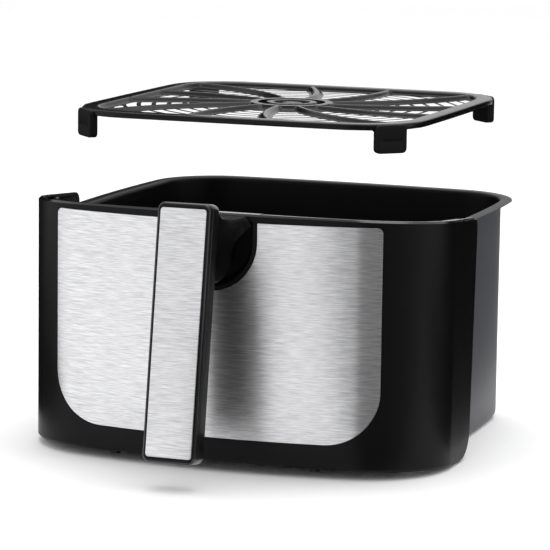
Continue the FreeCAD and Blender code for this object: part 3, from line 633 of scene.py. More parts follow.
@dataclass(frozen=True)
class BowedSquare:
    """Plan line with four bowed sides and round corners, in millimetres."""

    half_width: float
    half_depth: float
    corner: float
    bow: float

    def centres(self) -> tuple[Vector, Vector, Vector, float, float]:
        """Centres of the right side, the rear side and the corner between them.

        Returns:
            The three centres and the angles at which the corner begins and ends.
        """
        side = Vector((self.half_width - self.bow, 0.0))
        end = Vector((0.0, self.half_depth - self.bow))
        apart = end - side
        across = Vector((apart.y, -apart.x)).normalized()
        across = across if across.x > 0 else -across
        reach = math.sqrt((self.bow - self.corner) ** 2 - (apart.length / 2) ** 2)
        middle = (side + end) / 2 + across * reach
        low = math.atan2(middle.y, middle.x - side.x)
        high = math.atan2(middle.y - end.y, middle.x)
        return side, end, middle, low, high

    def outside(self, spot: Vector) -> tuple[float, Vector]:
        """Distance of a point outside the line, and the line's outward normal there.

        Args:
            spot: Point in plan, in millimetres.

        Returns:
            The distance, negative inside, and the normal.
        """
        side, end, middle, low, high = self.centres()
        quarter = Vector((abs(spot.x), abs(spot.y)))
        from_side, from_end = (quarter - side, self.bow), (quarter - end, self.bow)
        arm, radius = quarter - middle, self.corner
        turn = math.atan2(arm.y, arm.x)
        if arm.x < 0 and arm.y < 0:
            arm, radius = from_side if quarter.x > quarter.y else from_end
        elif turn < low or arm.x > 0 > arm.y:
            arm, radius = from_side
        elif turn > high:
            arm, radius = from_end
        normal = arm.normalized()
        outward = Vector((math.copysign(normal.x, spot.x), math.copysign(normal.y, spot.y)))
        return arm.length - radius, outward

    def ring(self, inset: float, height: float, side_steps: int = 14,
             corner_steps: int = 12) -> Ring:
        """Ring of points at an inset and a height.

        Args:
            inset: Distance in from the line, in millimetres.
            height: Height in millimetres.
            side_steps: Steps along each side.
            corner_steps: Steps round each corner.

        Returns:
            The ring in metres, anticlockwise from the right.
        """
        side, end, middle, low, high = self.centres()
        half, full = math.pi, 2 * math.pi
        arcs = [
            ((side.x, 0), self.bow, -low, low, side_steps),
            ((middle.x, middle.y), self.corner, low, high, corner_steps),
            ((0, end.y), self.bow, high, half - high, side_steps),
            ((-middle.x, middle.y), self.corner, half - high, half - low, corner_steps),
            ((-side.x, 0), self.bow, half - low, half + low, side_steps),
            ((-middle.x, -middle.y), self.corner, half + low, half + high, corner_steps),
            ((0, -end.y), self.bow, half + high, full - high, side_steps),
            ((middle.x, -middle.y), self.corner, full - high, full - low, corner_steps),
        ]
        ring = []
        for (x, y), radius, start, stop, steps in arcs:
            size = radius - inset
            for step in range(steps):
                turn = start + (stop - start) * step / steps
                spot = (x + size * math.cos(turn), y + size * math.sin(turn), height)
                ring.append(Vector(spot) * MM)
        return ring


# Sub-assemblies

@dataclass
class Basket:
    """Drawn pan with a rolled rim, gunmetal outside and black inside; sizes in millimetres.

    A ring keeps the plan line's shape down to the least corner. Rings further in are the ring
    with the floor's corner, drawn together.
    """

    line: BowedSquare = field(default_factory=lambda: BowedSquare(141.0, 138.0, 53.0, 1300.0))
    height: float = 161.0
    sheet: float = 1.2
    flange: float = 8.2
    foot_round: float = 6.0
    rim_round: float = 3.0
    lip_steps: int = 3
    wall_rows: Pair = (0.35, 0.7)
    floor_reach: float = 60.0
    least_corner: float = 2.0
    floor_corner: float = 3.0

    def profile(self) -> tuple[list[Pair], int]:
        """Section of the pan from its underside over the rim to its floor.

        Returns:
            Points as inset and height, and the number of the first step of the inside.
        """
        wall, inner, top = self.flange, self.flange + self.sheet, self.height
        under, foot, rim = top - self.sheet, self.foot_round, self.rim_round
        edge, bend, lip = self.sheet / 2, foot - self.sheet, self.lip_steps
        low, high = (top * share for share in self.wall_rows)
        points = [(wall + self.floor_reach, 0.0)]
        points += round_steps((wall + foot, 0.0), (wall, 0.0), (wall, foot))
        points += [(wall, low), (wall, high)]
        points += round_steps((wall, under - rim), (wall, under), (wall - rim, under))
        points += round_steps((edge, under), (0.0, under), (0.0, under + edge), lip)
        points += round_steps((0.0, top - edge), (0.0, top), (edge, top), lip)[1:]
        inside = len(points) - 1
        points += round_steps((inner - rim, top), (inner, top), (inner, top - rim))
        points += [(inner, high), (inner, low)]
        points += round_steps((inner, self.sheet + bend), (inner, self.sheet),
                              (inner + bend, self.sheet))
        points += [(inner + self.floor_reach, self.sheet)]
        return points, inside

    def build(self, outside: bpy.types.Material, inside: bpy.types.Material) -> None:
        """Make and dress the pan.

        Args:
            outside: Finish of its outside and rim.
            inside: Finish of its inside.
        """
        points, first = self.profile()
        rings = []
        for inset, height in points:
            if inset < self.line.corner - self.least_corner:
                rings.append(self.line.ring(inset, height))
            else:
                rings.append(self._floor_ring(inset, height))
        pan = loft("basket_pan", rings, sharp=50.0, inner_from=first)
        dress(pan, (outside, inside), BodyName.DRAWER, Slot.PAN, "basket")

    def _floor_ring(self, inset: float, height: float) -> Ring:
        """Ring well inside the corners, drawn in towards the middle.

        Args:
            inset: Distance in from the line, in millimetres.
            height: Height in millimetres.

        Returns:
            The ring in metres.
        """
        last = self.line.corner - self.floor_corner
        reach = 1 - (inset - last) / self.line.half_depth
        return [Vector((p.x * reach, p.y * reach, p.z)) for p in self.line.ring(last, height)]


@dataclass
class FrontPanel:
    """Cover, slotted frame behind it and the steel skin in its recess; sizes in millimetres."""

    edge: float = 0.9
    frame_edge: float = 0.35
    plate_edge: float = 0.4
    lip_above: float = 150.0
    lip_slope: float = 0.25

    def build(self, nodes: Nodes, cover: bpy.types.Material, highlight_finish: bpy.types.Material,
              frame: bpy.types.Material, steel: bpy.types.Material,
              film: bpy.types.Material) -> None:
        """Make and dress the panel's pieces, with a painted highlight on the cover's rounds and
        lip.

        Args:
            nodes: The CAD nodes by name.
            cover: Finish of the cover.
            highlight_finish: Finish of its rounds and lip.
            frame: Finish of the frame.
            steel: Finish of the steel skin.
            film: Finish of the adhesive strips.
        """
        shell = softened(nodes["front_cover"], "panel_cover", self.edge, segments=3, round_finish=1)
        # Top-facing faces of the lip take the same painted highlight finish.
        for face in shell.data.polygons:
            if face.center.z > self.lip_above * MM and face.normal.z > self.lip_slope:
                face.material_index = 1
        dress(shell, (cover, highlight_finish), BodyName.DRAWER, Slot.COVER, "front_cover")
        inner = softened(nodes["inner_frame"], "panel_frame", self.frame_edge)
        dress(inner, (frame,), BodyName.DRAWER, Slot.FRAME, "inner_frame")
        plate = softened(nodes["fascia_plate"], "panel_plate", self.plate_edge)
        dress(plate, (steel,), BodyName.DRAWER, Slot.STEEL, "fascia_plate")
        for side in ("left", "right"):
            repaint(nodes[f"fascia_adhesive_{side}"], film)


@dataclass
class Handle:
    """Leaning bar of two moulded halves round a steel insert, on a flared neck.

    Sizes are in millimetres. The neck's ends are points of its side view, as Y and Z.
    """

    top: Place = (0.0, -197.0, 186.1)
    lean: float = 8.4
    width: float = 37.0
    length: float = 170.0
    corner: float = 5.0
    least_corner: float = 0.6
    grip_depth: float = 14.0
    grip_round: float = 4.6
    bezel_depth: float = 6.0
    bezel_round: float = 2.0
    seam: float = 0.35
    recess: float = 1.5
    recess_margin: Pair = (2.1, 3.4)
    recess_corner: float = 2.4
    insert_margin: Pair = (2.3, 3.6)
    insert_corner: float = 2.2
    insert_edge: float = 0.3
    insert_steps: int = 3
    insert_flats: Pair = (0.7, 1.4)
    insert_back: float = 4.81
    insert_sheet: float = 1.0
    neck_half: float = 17.0
    neck_flare: float = 13.2
    neck_foot: float = 12.0
    foot_flare: float = 4.0
    flare_start: float = -184.0
    neck_start: float = -190.0
    neck_back: float = -149.2
    neck_stations: int = 22
    crest_front: Pair = (-183.6, 181.1)
    crest_mouth: Pair = (-159.2, 174.4)
    crest_sweep: float = 22.0
    seat_top: float = 170.3
    belly_front: Pair = (-190.5, 134.6)
    belly_back: Pair = (-149.2, 149.0)
    belly_sweep: float = 27.0
    neck_round: float = 3.0
    neck_round_steps: int = 5
    flank_steps: int = 7

    def place(self) -> Matrix:
        """Matrix of the bar's own frame, in metres."""
        turn = Matrix.Rotation(-math.radians(self.lean), 4, "X")
        return Matrix.Translation(Vector(self.top) * MM) @ turn

    def ring(self, side: float, end: float, corner: float, depth: float) -> Ring:
        """Rounded rectangle across the bar's depth.

        Args:
            side: Inset at the long sides.
            end: Inset at the two ends.
            corner: Radius of its corners.
            depth: Place along the bar's depth, positive to the rear.

        Returns:
            The ring in metres, in the part's frame.
        """
        place = self.place()
        outline = rounded_box(self.width / 2 - side, -end, -(self.length - end), corner)
        return [place @ (Vector((x, depth, z)) * MM) for x, z in outline]

    def inset_ring(self, inset: float, depth: float) -> Ring:
        """Ring moved in by the same amount all round."""
        return self.ring(inset, inset, max(self.corner - inset, self.least_corner), depth)

    def build(self, plastic: bpy.types.Material, highlight_finish: bpy.types.Material,
              steel: bpy.types.Material, film: bpy.types.Material, nodes: Nodes) -> None:
        """Make and dress the handle's pieces, with a painted highlight on the bar's rounds.

        Args:
            plastic: Finish of the mouldings.
            highlight_finish: Finish of their rounds.
            steel: Finish of the insert.
            film: Finish of the adhesive film.
            nodes: The CAD nodes by name.
        """
        moulded = (plastic, highlight_finish)
        self._bar_half("handle_rear", self._grip(), moulded, "handle_grip")
        dress(self.neck(), (plastic,), BodyName.DRAWER, Slot.HANDLE)
        self._bar_half("handle_front", self._bezel(), moulded, "handle_bezel")
        insert = loft("handle_plate", self._insert())
        dress(insert, (steel,), BodyName.DRAWER, Slot.STEEL, "handle_insert")
        repaint(nodes["insert_adhesive"], film)

    def _bar_half(self, name: str, rings: list[Ring], finishes: Iterable[bpy.types.Material],
                  node: str) -> None:
        """Make and dress one half of the bar.

        Args:
            name: Name of the piece.
            rings: Its rings.
            finishes: Finish of its flats and of its rounds.
            node: CAD node that it replaces.
        """
        half = loft(name, rings)
        # The rounds take the lighter, glossier painted highlight finish.
        highlight_rounds(half, self.place())
        dress(half, finishes, BodyName.DRAWER, Slot.HANDLE, node)

    def _grip(self) -> list[Ring]:
        """Rings of the bar's rear half, from the seam to its back.

        Returns:
            The rings.
        """
        back = self.grip_depth
        rings = [self.inset_ring(self.seam, 0.0), self.inset_ring(0.0, self.seam)]
        return rings + [self.inset_ring(inset, depth) for inset, depth in round_steps(
            (0.0, back - self.grip_round), (0.0, back), (self.grip_round, back))]

    def _bezel(self) -> list[Ring]:
        """Rings of the bar's front half, from the seam to the floor of its recess.

        Returns:
            The rings.
        """
        front = -self.bezel_depth
        side, end = self.recess_margin
        rings = [self.inset_ring(self.seam, 0.0), self.inset_ring(0.0, -self.seam)]
        rings += [self.inset_ring(inset, depth) for inset, depth in round_steps(
            (0.0, front + self.bezel_round), (0.0, front), (self.bezel_round, front))]
        return rings + [self.ring(side, end, self.recess_corner, depth)
                        for depth in (front, front + self.recess)]

    def _insert(self) -> list[Ring]:
        """Rings of the steel insert, from its back to the flat of its face.

        Returns:
            The rings.
        """
        side, end = self.insert_margin
        corner, edge = self.insert_corner, self.insert_edge
        face = -(self.insert_back + self.insert_sheet)
        steps = [(0.0, -self.insert_back)]
        steps += round_steps((0.0, face + edge), (0.0, face), (edge, face), self.insert_steps)
        steps += [(inset, face) for inset in self.insert_flats]
        return [self.ring(side + inset, end + inset, corner - inset, depth)
                for inset, depth in steps]

    def neck(self) -> bpy.types.Object:
        """Neck that sweeps from the bar's back to the panel and flares out under its ledge.

        Returns:
            The neck's object.
        """
        rings = []
        for step in range(self.neck_stations + 1):
            run = (self.neck_back - self.neck_start) * step / self.neck_stations
            rings.append(self._neck_ring(self.neck_start + run))
        return loft("handle_neck", rings, sharp=50.0)

    def _neck_ring(self, y: float) -> Ring:
        """Rounded section of the neck, wide at its top and narrow at its foot.

        Args:
            y: Place of the section along the neck.

        Returns:
            The ring in metres.
        """
        mouth = self.crest_mouth[0]
        share = min(max((y - self.flare_start) / (mouth - self.flare_start), 0.0), 1.0)
        wide = self.neck_half + self.neck_flare * share ** 3
        narrow = self.neck_foot + self.foot_flare * share ** 3
        top = self.seat_top
        if y < mouth:
            top = self._arc_height(y, self.crest_front, self.crest_mouth, self.crest_sweep)
        low = self._arc_height(y, self.belly_front, self.belly_back, self.belly_sweep)
        edge = min(self.neck_round, (top - low) / 3)
        flank, steps = self.flank_steps, self.neck_round_steps
        sides = [(narrow + (wide - narrow) * (1 - step / flank) ** 3,
                  top - edge - (top - low - 2 * edge) * step / flank) for step in range(1, flank)]
        corners = ((wide, top, 0), (-wide, top, 90), (-narrow, low, 180), (narrow, low, 270))
        ring = []
        for x, z, begin in corners:
            cx, cz = x - math.copysign(edge, x), z - (edge if z == top else -edge)
            for step in range(steps + 1):
                turn = math.radians(begin + 90 * step / steps)
                spot = (cx + edge * math.cos(turn), y, cz + edge * math.sin(turn))
                ring.append(Vector(spot) * MM)
            if begin == 90:
                ring += [Vector((-half, y, level)) * MM for half, level in sides]
            elif begin == 270:
                ring += [Vector((half, y, level)) * MM for half, level in reversed(sides)]
        return ring

    @staticmethod
    def _arc_height(y: float, first: Pair, last: Pair, radius: float) -> float:
        """Height on a hanging arc between two points of the side view.

        Args:
            y: Place along the neck.
            first: Front end of the arc.
            last: Rear end of the arc.
            radius: Radius of the arc.

        Returns:
            The height, that of the nearer end beyond the arc.
        """
        if y <= first[0]:
            return first[1]
        if y >= last[0]:
            return last[1]
        start, end = Vector(first), Vector(last)
        chord = end - start
        rise = math.sqrt(max(radius ** 2 - (chord.length / 2) ** 2, 0.0))
        normal = Vector((-chord.y, chord.x)).normalized()
        centre = (start + end) / 2 + normal * rise
        return centre.y - math.sqrt(max(radius ** 2 - (y - centre.x) ** 2, 0.0))


class Row:
    """One line of the tray's mesh round its middle."""

    def __init__(self, spots: list[Vector], heights: list[float], opens: list[bool] | None = None,
                 below: list[Vector] | None = None) -> None:
        """Keep the row's points.

        Args:
            spots: Plan points in millimetres.
            heights: Their heights above the field.
            opens: Whether the cell after each point is a hole; none is by default.
            below: Plan points of the underside; those above by default.
        """
        self.spots = spots
        self.heights = heights
        self.opens = opens or [False] * len(spots)
        self.below = below or spots


@dataclass
class CrisperTray:
    """Cast plate with swirled ribs, hub and slots, and four silicone corner caps.

    Sizes are in millimetres. Profiles are pairs of a radius or an inset and a height above the
    field. A hub opening is the radius that it starts at, the turn in degrees after which it comes
    again, and the angles that it lies between.
    """

    line: BowedSquare = field(default_factory=lambda: BowedSquare(124.5, 124.5, 47.0, 5000.0))
    top: float = 234.5
    field_top: float = 231.4
    sheet: float = 0.35
    under: float = 230.5
    hub: float = 29.0
    hub_slope: float = 2.4
    hub_profile: tuple[Pair, ...] = (
        (3.0, 2.4), (6.8, 2.3), (7.4, 1.7), (7.7, 0.3), (8.0, 0.0), (12.0, 0.0), (12.2, 0.3),
        (12.5, 2.2), (13.1, 2.8), (17.4, 2.8), (18.0, 2.2), (18.3, 0.3), (18.6, 0.0), (23.3, 0.0),
        (23.5, 0.3), (23.8, 2.2))
    hub_openings: tuple[tuple[float, float, float, float], ...] = (
        (8.0, 180.0, 25.0, 155.0), (18.6, 120.0, 0.0, 80.0))
    ribs: int = 12
    rib_top: float = 2.8
    rib_half: float = 4.4
    rib_flat: float = 0.6
    rib_bend: float = 170.0
    rib_offsets: tuple[float, ...] = (0.0, 0.9, 1.7, 2.5, 3.3, 4.1, 5.2)
    rib_share: float = 0.46
    between: int = 6
    groove: float = 24.0
    field_start: tuple[float, ...] = (24.0, 26.5, 29.0, 30.2, 31.6, 35.0, 40.0)
    field_reach: float = 260.0
    halvings: int = 40
    slot_first: float = 49.0
    slot_pitch: float = 11.0
    slot_width: float = 7.6
    slot_count: int = 13
    slot_margin: float = 1.2
    slot_least: float = 0.3
    draft: float = 1.4
    frame_width: float = 13.0
    frame_slope: float = 10.0
    frame_profile: tuple[Pair, ...] = (
        (13.6, 0.1), (13.0, 0.5), (12.3, 1.6), (11.6, 2.5), (10.8, 2.95), (9.8, 3.1), (5.5, 3.1),
        (1.9, 3.1), (1.1, 2.98), (0.4, 2.55), (0.0, 1.8), (0.0, -0.3), (0.3, -0.75))
    tab_sheet: float = 1.2
    tab_drop: float = 16.0
    tab_half: float = 8.5
    tab_flare: float = 7.0
    tab_root: float = 0.6
    tab_inset: float = 0.4
    tab_steps: int = 8
    cap_width: float = 22.5
    cap_top: float = 234.2
    cap_low: float = 215.0
    cap_front: float = 48.95
    cap_back: float = 42.45
    cap_round: float = 1.3
    cap_steps: int = 4
    cap_corner: float = 3.2
    slit_drop: float = 0.6
    slit_rings: tuple[tuple[float, float, float, float], ...] = (
        (0.0, 7.4, 0.95, 0.9), (0.25, 7.1, 0.65, 0.6), (0.9, 7.0, 0.55, 0.5))

    def rib_spot(self, distance: float, angle: float) -> Vector:
        """Plan point at a distance along a rib.

        Args:
            distance: Distance along the rib.
            angle: Angle at which the rib leaves the hub.

        Returns:
            The point.
        """
        turn = (distance - self.groove) / self.rib_bend
        x = self.groove + self.rib_bend * math.sin(turn)
        y = self.rib_bend * (1 - math.cos(turn))
        return Vector((x * math.cos(angle) - y * math.sin(angle),
                       x * math.sin(angle) + y * math.cos(angle)))

    def columns(self, distance: float) -> list[tuple[float, float]]:
        """Columns of the mesh at a distance along the ribs.

        Args:
            distance: Distance along the ribs.

        Returns:
            Angle of each column and its distance from the nearest rib's middle.
        """
        turn = (distance - self.groove) / self.rib_bend
        spot = self.rib_spot(distance, 0.0)
        spread = spot.length * math.cos(turn - math.atan2(spot.y, spot.x))
        gap = 2 * math.pi / self.ribs
        near = [min(offset / spread, gap * self.rib_share) for offset in self.rib_offsets]
        edge = near[-1]
        inner = [edge + (gap - 2 * edge) * (i + 1) / (self.between + 1)
                 for i in range(self.between)]
        parts = near + inner + [gap - angle for angle in reversed(near[1:])]
        return [(sector * gap + part, min(part, gap - part) * spread)
                for sector in range(self.ribs) for part in parts]

    def rib_height(self, offset: float) -> float:
        """Height of a rib's rounded back at an offset from its middle."""
        share = min(max((offset - self.rib_flat) / (self.rib_half - self.rib_flat), 0.0), 1.0)
        return self.rib_top * 0.5 * (1 + math.cos(math.pi * share))

    def hub_rows(self) -> list[Row]:
        """Rows of the hub from its middle out to its ring.

        Returns:
            The rows.
        """
        angles = [angle for angle, _ in self.columns(self.groove)]
        openings = {radius: bounds for radius, *bounds in self.hub_openings}
        rows = []
        for radius, height in self.hub_profile:
            spots = [Vector((radius * math.cos(a), radius * math.sin(a))) for a in angles]
            opens = None
            if radius in openings:
                repeat, start, stop = openings[radius]
                opens = [start <= math.degrees(a) % repeat < stop for a in angles]
            rows.append(Row(spots, [height] * len(angles), opens))
        return rows

    def limits(self) -> list[float]:
        """Distance along the ribs at which each column reaches the field's edge.

        Returns:
            The distances, in the columns' order.
        """
        found = []
        inset = -(self.frame_width + self.slot_margin)
        for index in range(len(self.columns(self.groove))):
            low, high = self.groove, self.field_reach
            for _ in range(self.halvings):
                middle = (low + high) / 2
                angle, _ = self.columns(middle)[index]
                if self.line.outside(self.rib_spot(middle, angle))[0] < inset:
                    low = middle
                else:
                    high = middle
            found.append(low)
        return found

    def field_rows(self) -> list[Row]:
        """Rows of the ribbed and slotted field, each column ended at the field's edge.

        Returns:
            The rows, from the hub's ring outwards.
        """
        limits = self.limits()
        half = self.slot_width / 2
        steps = [(distance, False, 0.0) for distance in self.field_start]
        for slot in range(self.slot_count):
            middle = self.slot_first + slot * self.slot_pitch
            steps += [(middle - half, True, -self.draft), (middle + half, False, self.draft)]
        offsets = len(self.rib_offsets)
        first, last, per_rib = offsets - 1, offsets + self.between, 2 * offsets - 1 + self.between
        cache = {}

        def column(place: float, index: int) -> tuple[float, float]:
            """Angle and offset of a column, kept for the next row.

            Args:
                place: Distance along the ribs.
                index: Number of the column.

            Returns:
                The angle and the offset.
            """
            if place not in cache:
                cache[place] = self.columns(place)
            return cache[place][index]

        rows = []
        for distance, slotted, shift in steps:
            spots, heights, opens, below = [], [], [], []
            for index, limit in enumerate(limits):
                place, lower = min(distance, limit), min(distance + shift, limit)
                angle, offset = column(place, index)
                spot = self.rib_spot(place, angle)
                rise = (self.hub + self.hub_slope - spot.length) / self.hub_slope
                ring = min(max(rise, 0.0), 1.0)
                spots.append(spot)
                below.append(self.rib_spot(lower, column(lower, index)[0]))
                heights.append(max(self.rib_height(offset),
                                   self.rib_top * ring * ring * (3 - 2 * ring)))
                inside = first <= index % per_rib < last
                roomy = limit - distance > self.slot_least * self.slot_width
                opens.append(slotted and inside and roomy)
            rows.append(Row(spots, heights, opens, below))
        return rows

    def frame_rows(self, edge: Row) -> list[Row]:
        """Rows of the raised frame.

        Args:
            edge: The field's last row.

        Returns:
            The rows, from the field's edge to the frame's underside.
        """
        start = self.frame_width + self.slot_margin
        rows = []
        for inset, height in self.frame_profile:
            spots, heights = [], []
            for spot, level in zip(edge.spots, edge.heights):
                _, normal = self.line.outside(spot)
                spots.append(spot + normal * (start - inset))
                heights.append(max(height, level) if inset > self.frame_slope else height)
            rows.append(Row(spots, heights))
        return rows

    def plate(self) -> bpy.types.Object:
        """Skin of the plate: upper and lower sheets joined round the slots and the edge.

        Returns:
            The plate's object.
        """
        inner = self.hub_rows() + self.field_rows()
        rows = inner + self.frame_rows(inner[-1])
        floor = [self.field_top - self.sheet if i < len(inner) else self.under
                 for i in range(len(rows))]
        build = bmesh.new()
        upper = [[build.verts.new(Vector((spot.x, spot.y, self.field_top + height)) * MM)
                  for spot, height in zip(row.spots, row.heights)] for row in rows]
        lower = [[build.verts.new(Vector((spot.x, spot.y, level)) * MM) for spot in row.below]
                 for row, level in zip(rows, floor)]
        count = len(upper[0])
        for i in range(len(rows) - 1):
            opens = rows[i].opens
            for j in range(count):
                k = (j + 1) % count
                if not opens[j]:
                    build.faces.new((upper[i][j], upper[i + 1][j], upper[i + 1][k], upper[i][k]))
                    build.faces.new((lower[i][j], lower[i][k], lower[i + 1][k], lower[i + 1][j]))
                    continue
                walls = [((i, j), (i, k)), ((i + 1, j), (i + 1, k))]
                walls += [((i, j), (i + 1, j))] * (not opens[j - 1])
                walls += [((i, k), (i + 1, k))] * (not opens[k])
                for (a, b), (c, d) in walls:
                    build.faces.new((upper[a][b], upper[c][d], lower[c][d], lower[a][b]))
        for j in range(count):
            k = (j + 1) % count
            build.faces.new((upper[-1][j], lower[-1][j], lower[-1][k], upper[-1][k]))
        build.faces.new(upper[0])
        build.faces.new(lower[0])
        bmesh.ops.remove_doubles(build, verts=build.verts[:], dist=ROW_WELD)
        self.tabs(build)
        return new_object("tray_plate", build, sharp=48.0)

    def corners(self) -> list[tuple[str, Vector, float]]:
        """The tray's four corners.

        Returns:
            Name, centre in plan and bisector's angle of each.
        """
        middle = self.line.centres()[2]
        signs = {"rear_right": (1, 1), "rear_left": (-1, 1), "front_left": (-1, -1),
                 "front_right": (1, -1)}
        return [(name, Vector((x * middle.x, y * middle.y)), math.atan2(y, x))
                for name, (x, y) in signs.items()]

    def tabs(self, build: bmesh.types.BMesh) -> None:
        """Add the bent corner tabs, whose roots flare out under the frame.

        Args:
            build: The plate's mesh.
        """
        steps = self.tab_steps
        high, low = self.field_top + self.tab_root, self.top - self.tab_drop
        radius = self.line.corner - self.tab_inset
        for _, centre, bisector in self.corners():
            skins = []
            for size in (radius, radius - self.tab_sheet):
                grid = []
                for level in range(steps + 1):
                    share = level / steps
                    half = self.tab_half + self.tab_flare * (1 - share) ** 4
                    z = high - (high - low) * share
                    line = []
                    for step in range(steps + 1):
                        turn = bisector + half / size * (2 * step / steps - 1)
                        x, y = centre.x + size * math.cos(turn), centre.y + size * math.sin(turn)
                        line.append(build.verts.new(Vector((x, y, z)) * MM))
                    grid.append(line)
                skins.append(grid)
            for grid in skins:
                for above, under in zip(grid, grid[1:]):
                    for i in range(steps):
                        build.faces.new((above[i], above[i + 1], under[i + 1], under[i]))
            outer, inner = ([grid[0], [row[-1] for row in grid], grid[-1][::-1],
                             [row[0] for row in grid][::-1]] for grid in skins)
            for rim, back in zip(outer, inner):
                for i in range(steps):
                    build.faces.new((rim[i], rim[i + 1], back[i + 1], back[i]))

    def cap(self, name: str, centre: Vector, bisector: float) -> bpy.types.Object:
        """Rounded silicone block over a tab, with a short slit across its face.

        Args:
            name: Name of the piece.
            centre: The corner's centre in plan.
            bisector: Angle of the corner's bisector.

        Returns:
            The cap's object.
        """
        out = Vector((math.cos(bisector), math.sin(bisector)))
        side = Vector((-math.sin(bisector), math.cos(bisector)))
        edge, front, back = self.cap_round, self.cap_front, self.cap_back
        slit = (self.cap_top + self.cap_low) / 2 - self.slit_drop
        steps = round_steps((edge, back), (0.0, back), (0.0, back + edge), self.cap_steps)
        steps += round_steps((0.0, front - edge), (0.0, front), (edge, front), self.cap_steps)
        outlines = [(depth, rounded_box(self.cap_width / 2 - inset, self.cap_top - inset,
                                        self.cap_low + inset, self.cap_corner - inset))
                    for inset, depth in steps]
        outlines += [(front - depth, rounded_box(half, slit + rise, slit - rise, corner))
                     for depth, half, rise, corner in self.slit_rings]
        rings = []
        for depth, outline in outlines:
            ring = []
            for across, level in outline:
                plan = centre + out * depth + side * across
                ring.append(Vector((plan.x, plan.y, level)) * MM)
            rings.append(ring)
        return loft(name, rings, sharp=50.0)

    def build(self, coating: bpy.types.Material, silicone: bpy.types.Material) -> None:
        """Make and dress the tray's pieces.

        Args:
            coating: Finish of the plate.
            silicone: Finish of the caps.
        """
        dress(self.plate(), (coating,), BodyName.TRAY, Slot.TRAY, "crisper_plate")
        for place, centre, bisector in self.corners():
            cap = self.cap(f"tray_cap_{place}", centre, bisector)
            dress(cap, (silicone,), BodyName.TRAY, Slot.SILICONE, f"corner_cap_{place}")


@dataclass
class Fixings:
    """Brackets and screws that hold the pieces together; sizes in millimetres."""

    names: tuple[str, ...] = ("bracket_left", "bracket_right", "bracket_screws", "frame_screws",
                              "handle_screws")
    blackened: str = "frame_screws"
    edge: float = 0.25

    def build(self, nodes: Nodes, plated: bpy.types.Material, black: bpy.types.Material) -> None:
        """Make and dress the fixings; the screws that show from below are blackened.

        Args:
            nodes: The CAD nodes by name.
            plated: Finish of the brackets and the hidden screws.
            black: Finish of the blackened screws.
        """
        for name in self.names:
            piece = softened(nodes[name], f"fixing_{name}", self.edge, segments=1)
            finish = black if name == self.blackened else plated
            dress(piece, (finish,), BodyName.DRAWER, Slot.PLATED, name)


# Studio, in metres

def aim(item: bpy.types.Object, place: Place, target: Place) -> None:
    """Put a light or a card in its place, facing a target.

    Args:
        item: The light or card.
        place: Where it stands.
        target: What it faces.
    """
    item.location = place
    ahead = Vector(target) - Vector(place)
    item.rotation_euler = ahead.to_track_quat("-Z", "Y").to_euler()


@dataclass(frozen=True)
class Softbox:
    """Rectangular soft light."""

    name: str
    place: Place
    target: Place
    size: Pair
    power: float

    def build(self) -> None:
        """Make the light."""
        data = bpy.data.lights.new(self.name, "AREA")
        data.shape = "RECTANGLE"
        data.size, data.size_y = self.size
        data.energy = self.power
        item = bpy.data.objects.new(self.name, data)
        aim(item, self.place, self.target)
        bpy.context.scene.collection.objects.link(item)


@dataclass(frozen=True)
class DarkCard:
    """Dark card beside the set that shows only in reflections."""

    name: str
    place: Place
    target: Place
    size: Pair
    grey: float = 0.0

    def build(self) -> None:
        """Make the card."""
        build = bmesh.new()
        bmesh.ops.create_grid(build, x_segments=1, y_segments=1, size=0.5)
        item = new_object(self.name, build, sharp=30.0)
        aim(item, self.place, self.target)
        item.scale = (*self.size, 1.0)
        item.data.materials.append(Paint(self.name).finish(
            Base_Color=(*[self.grey] * 3, 1.0), Roughness=1.0, Specular_IOR_Level=0.0))
        for rays in ("camera", "diffuse", "transmission", "shadow"):
            setattr(item, f"visible_{rays}", False)


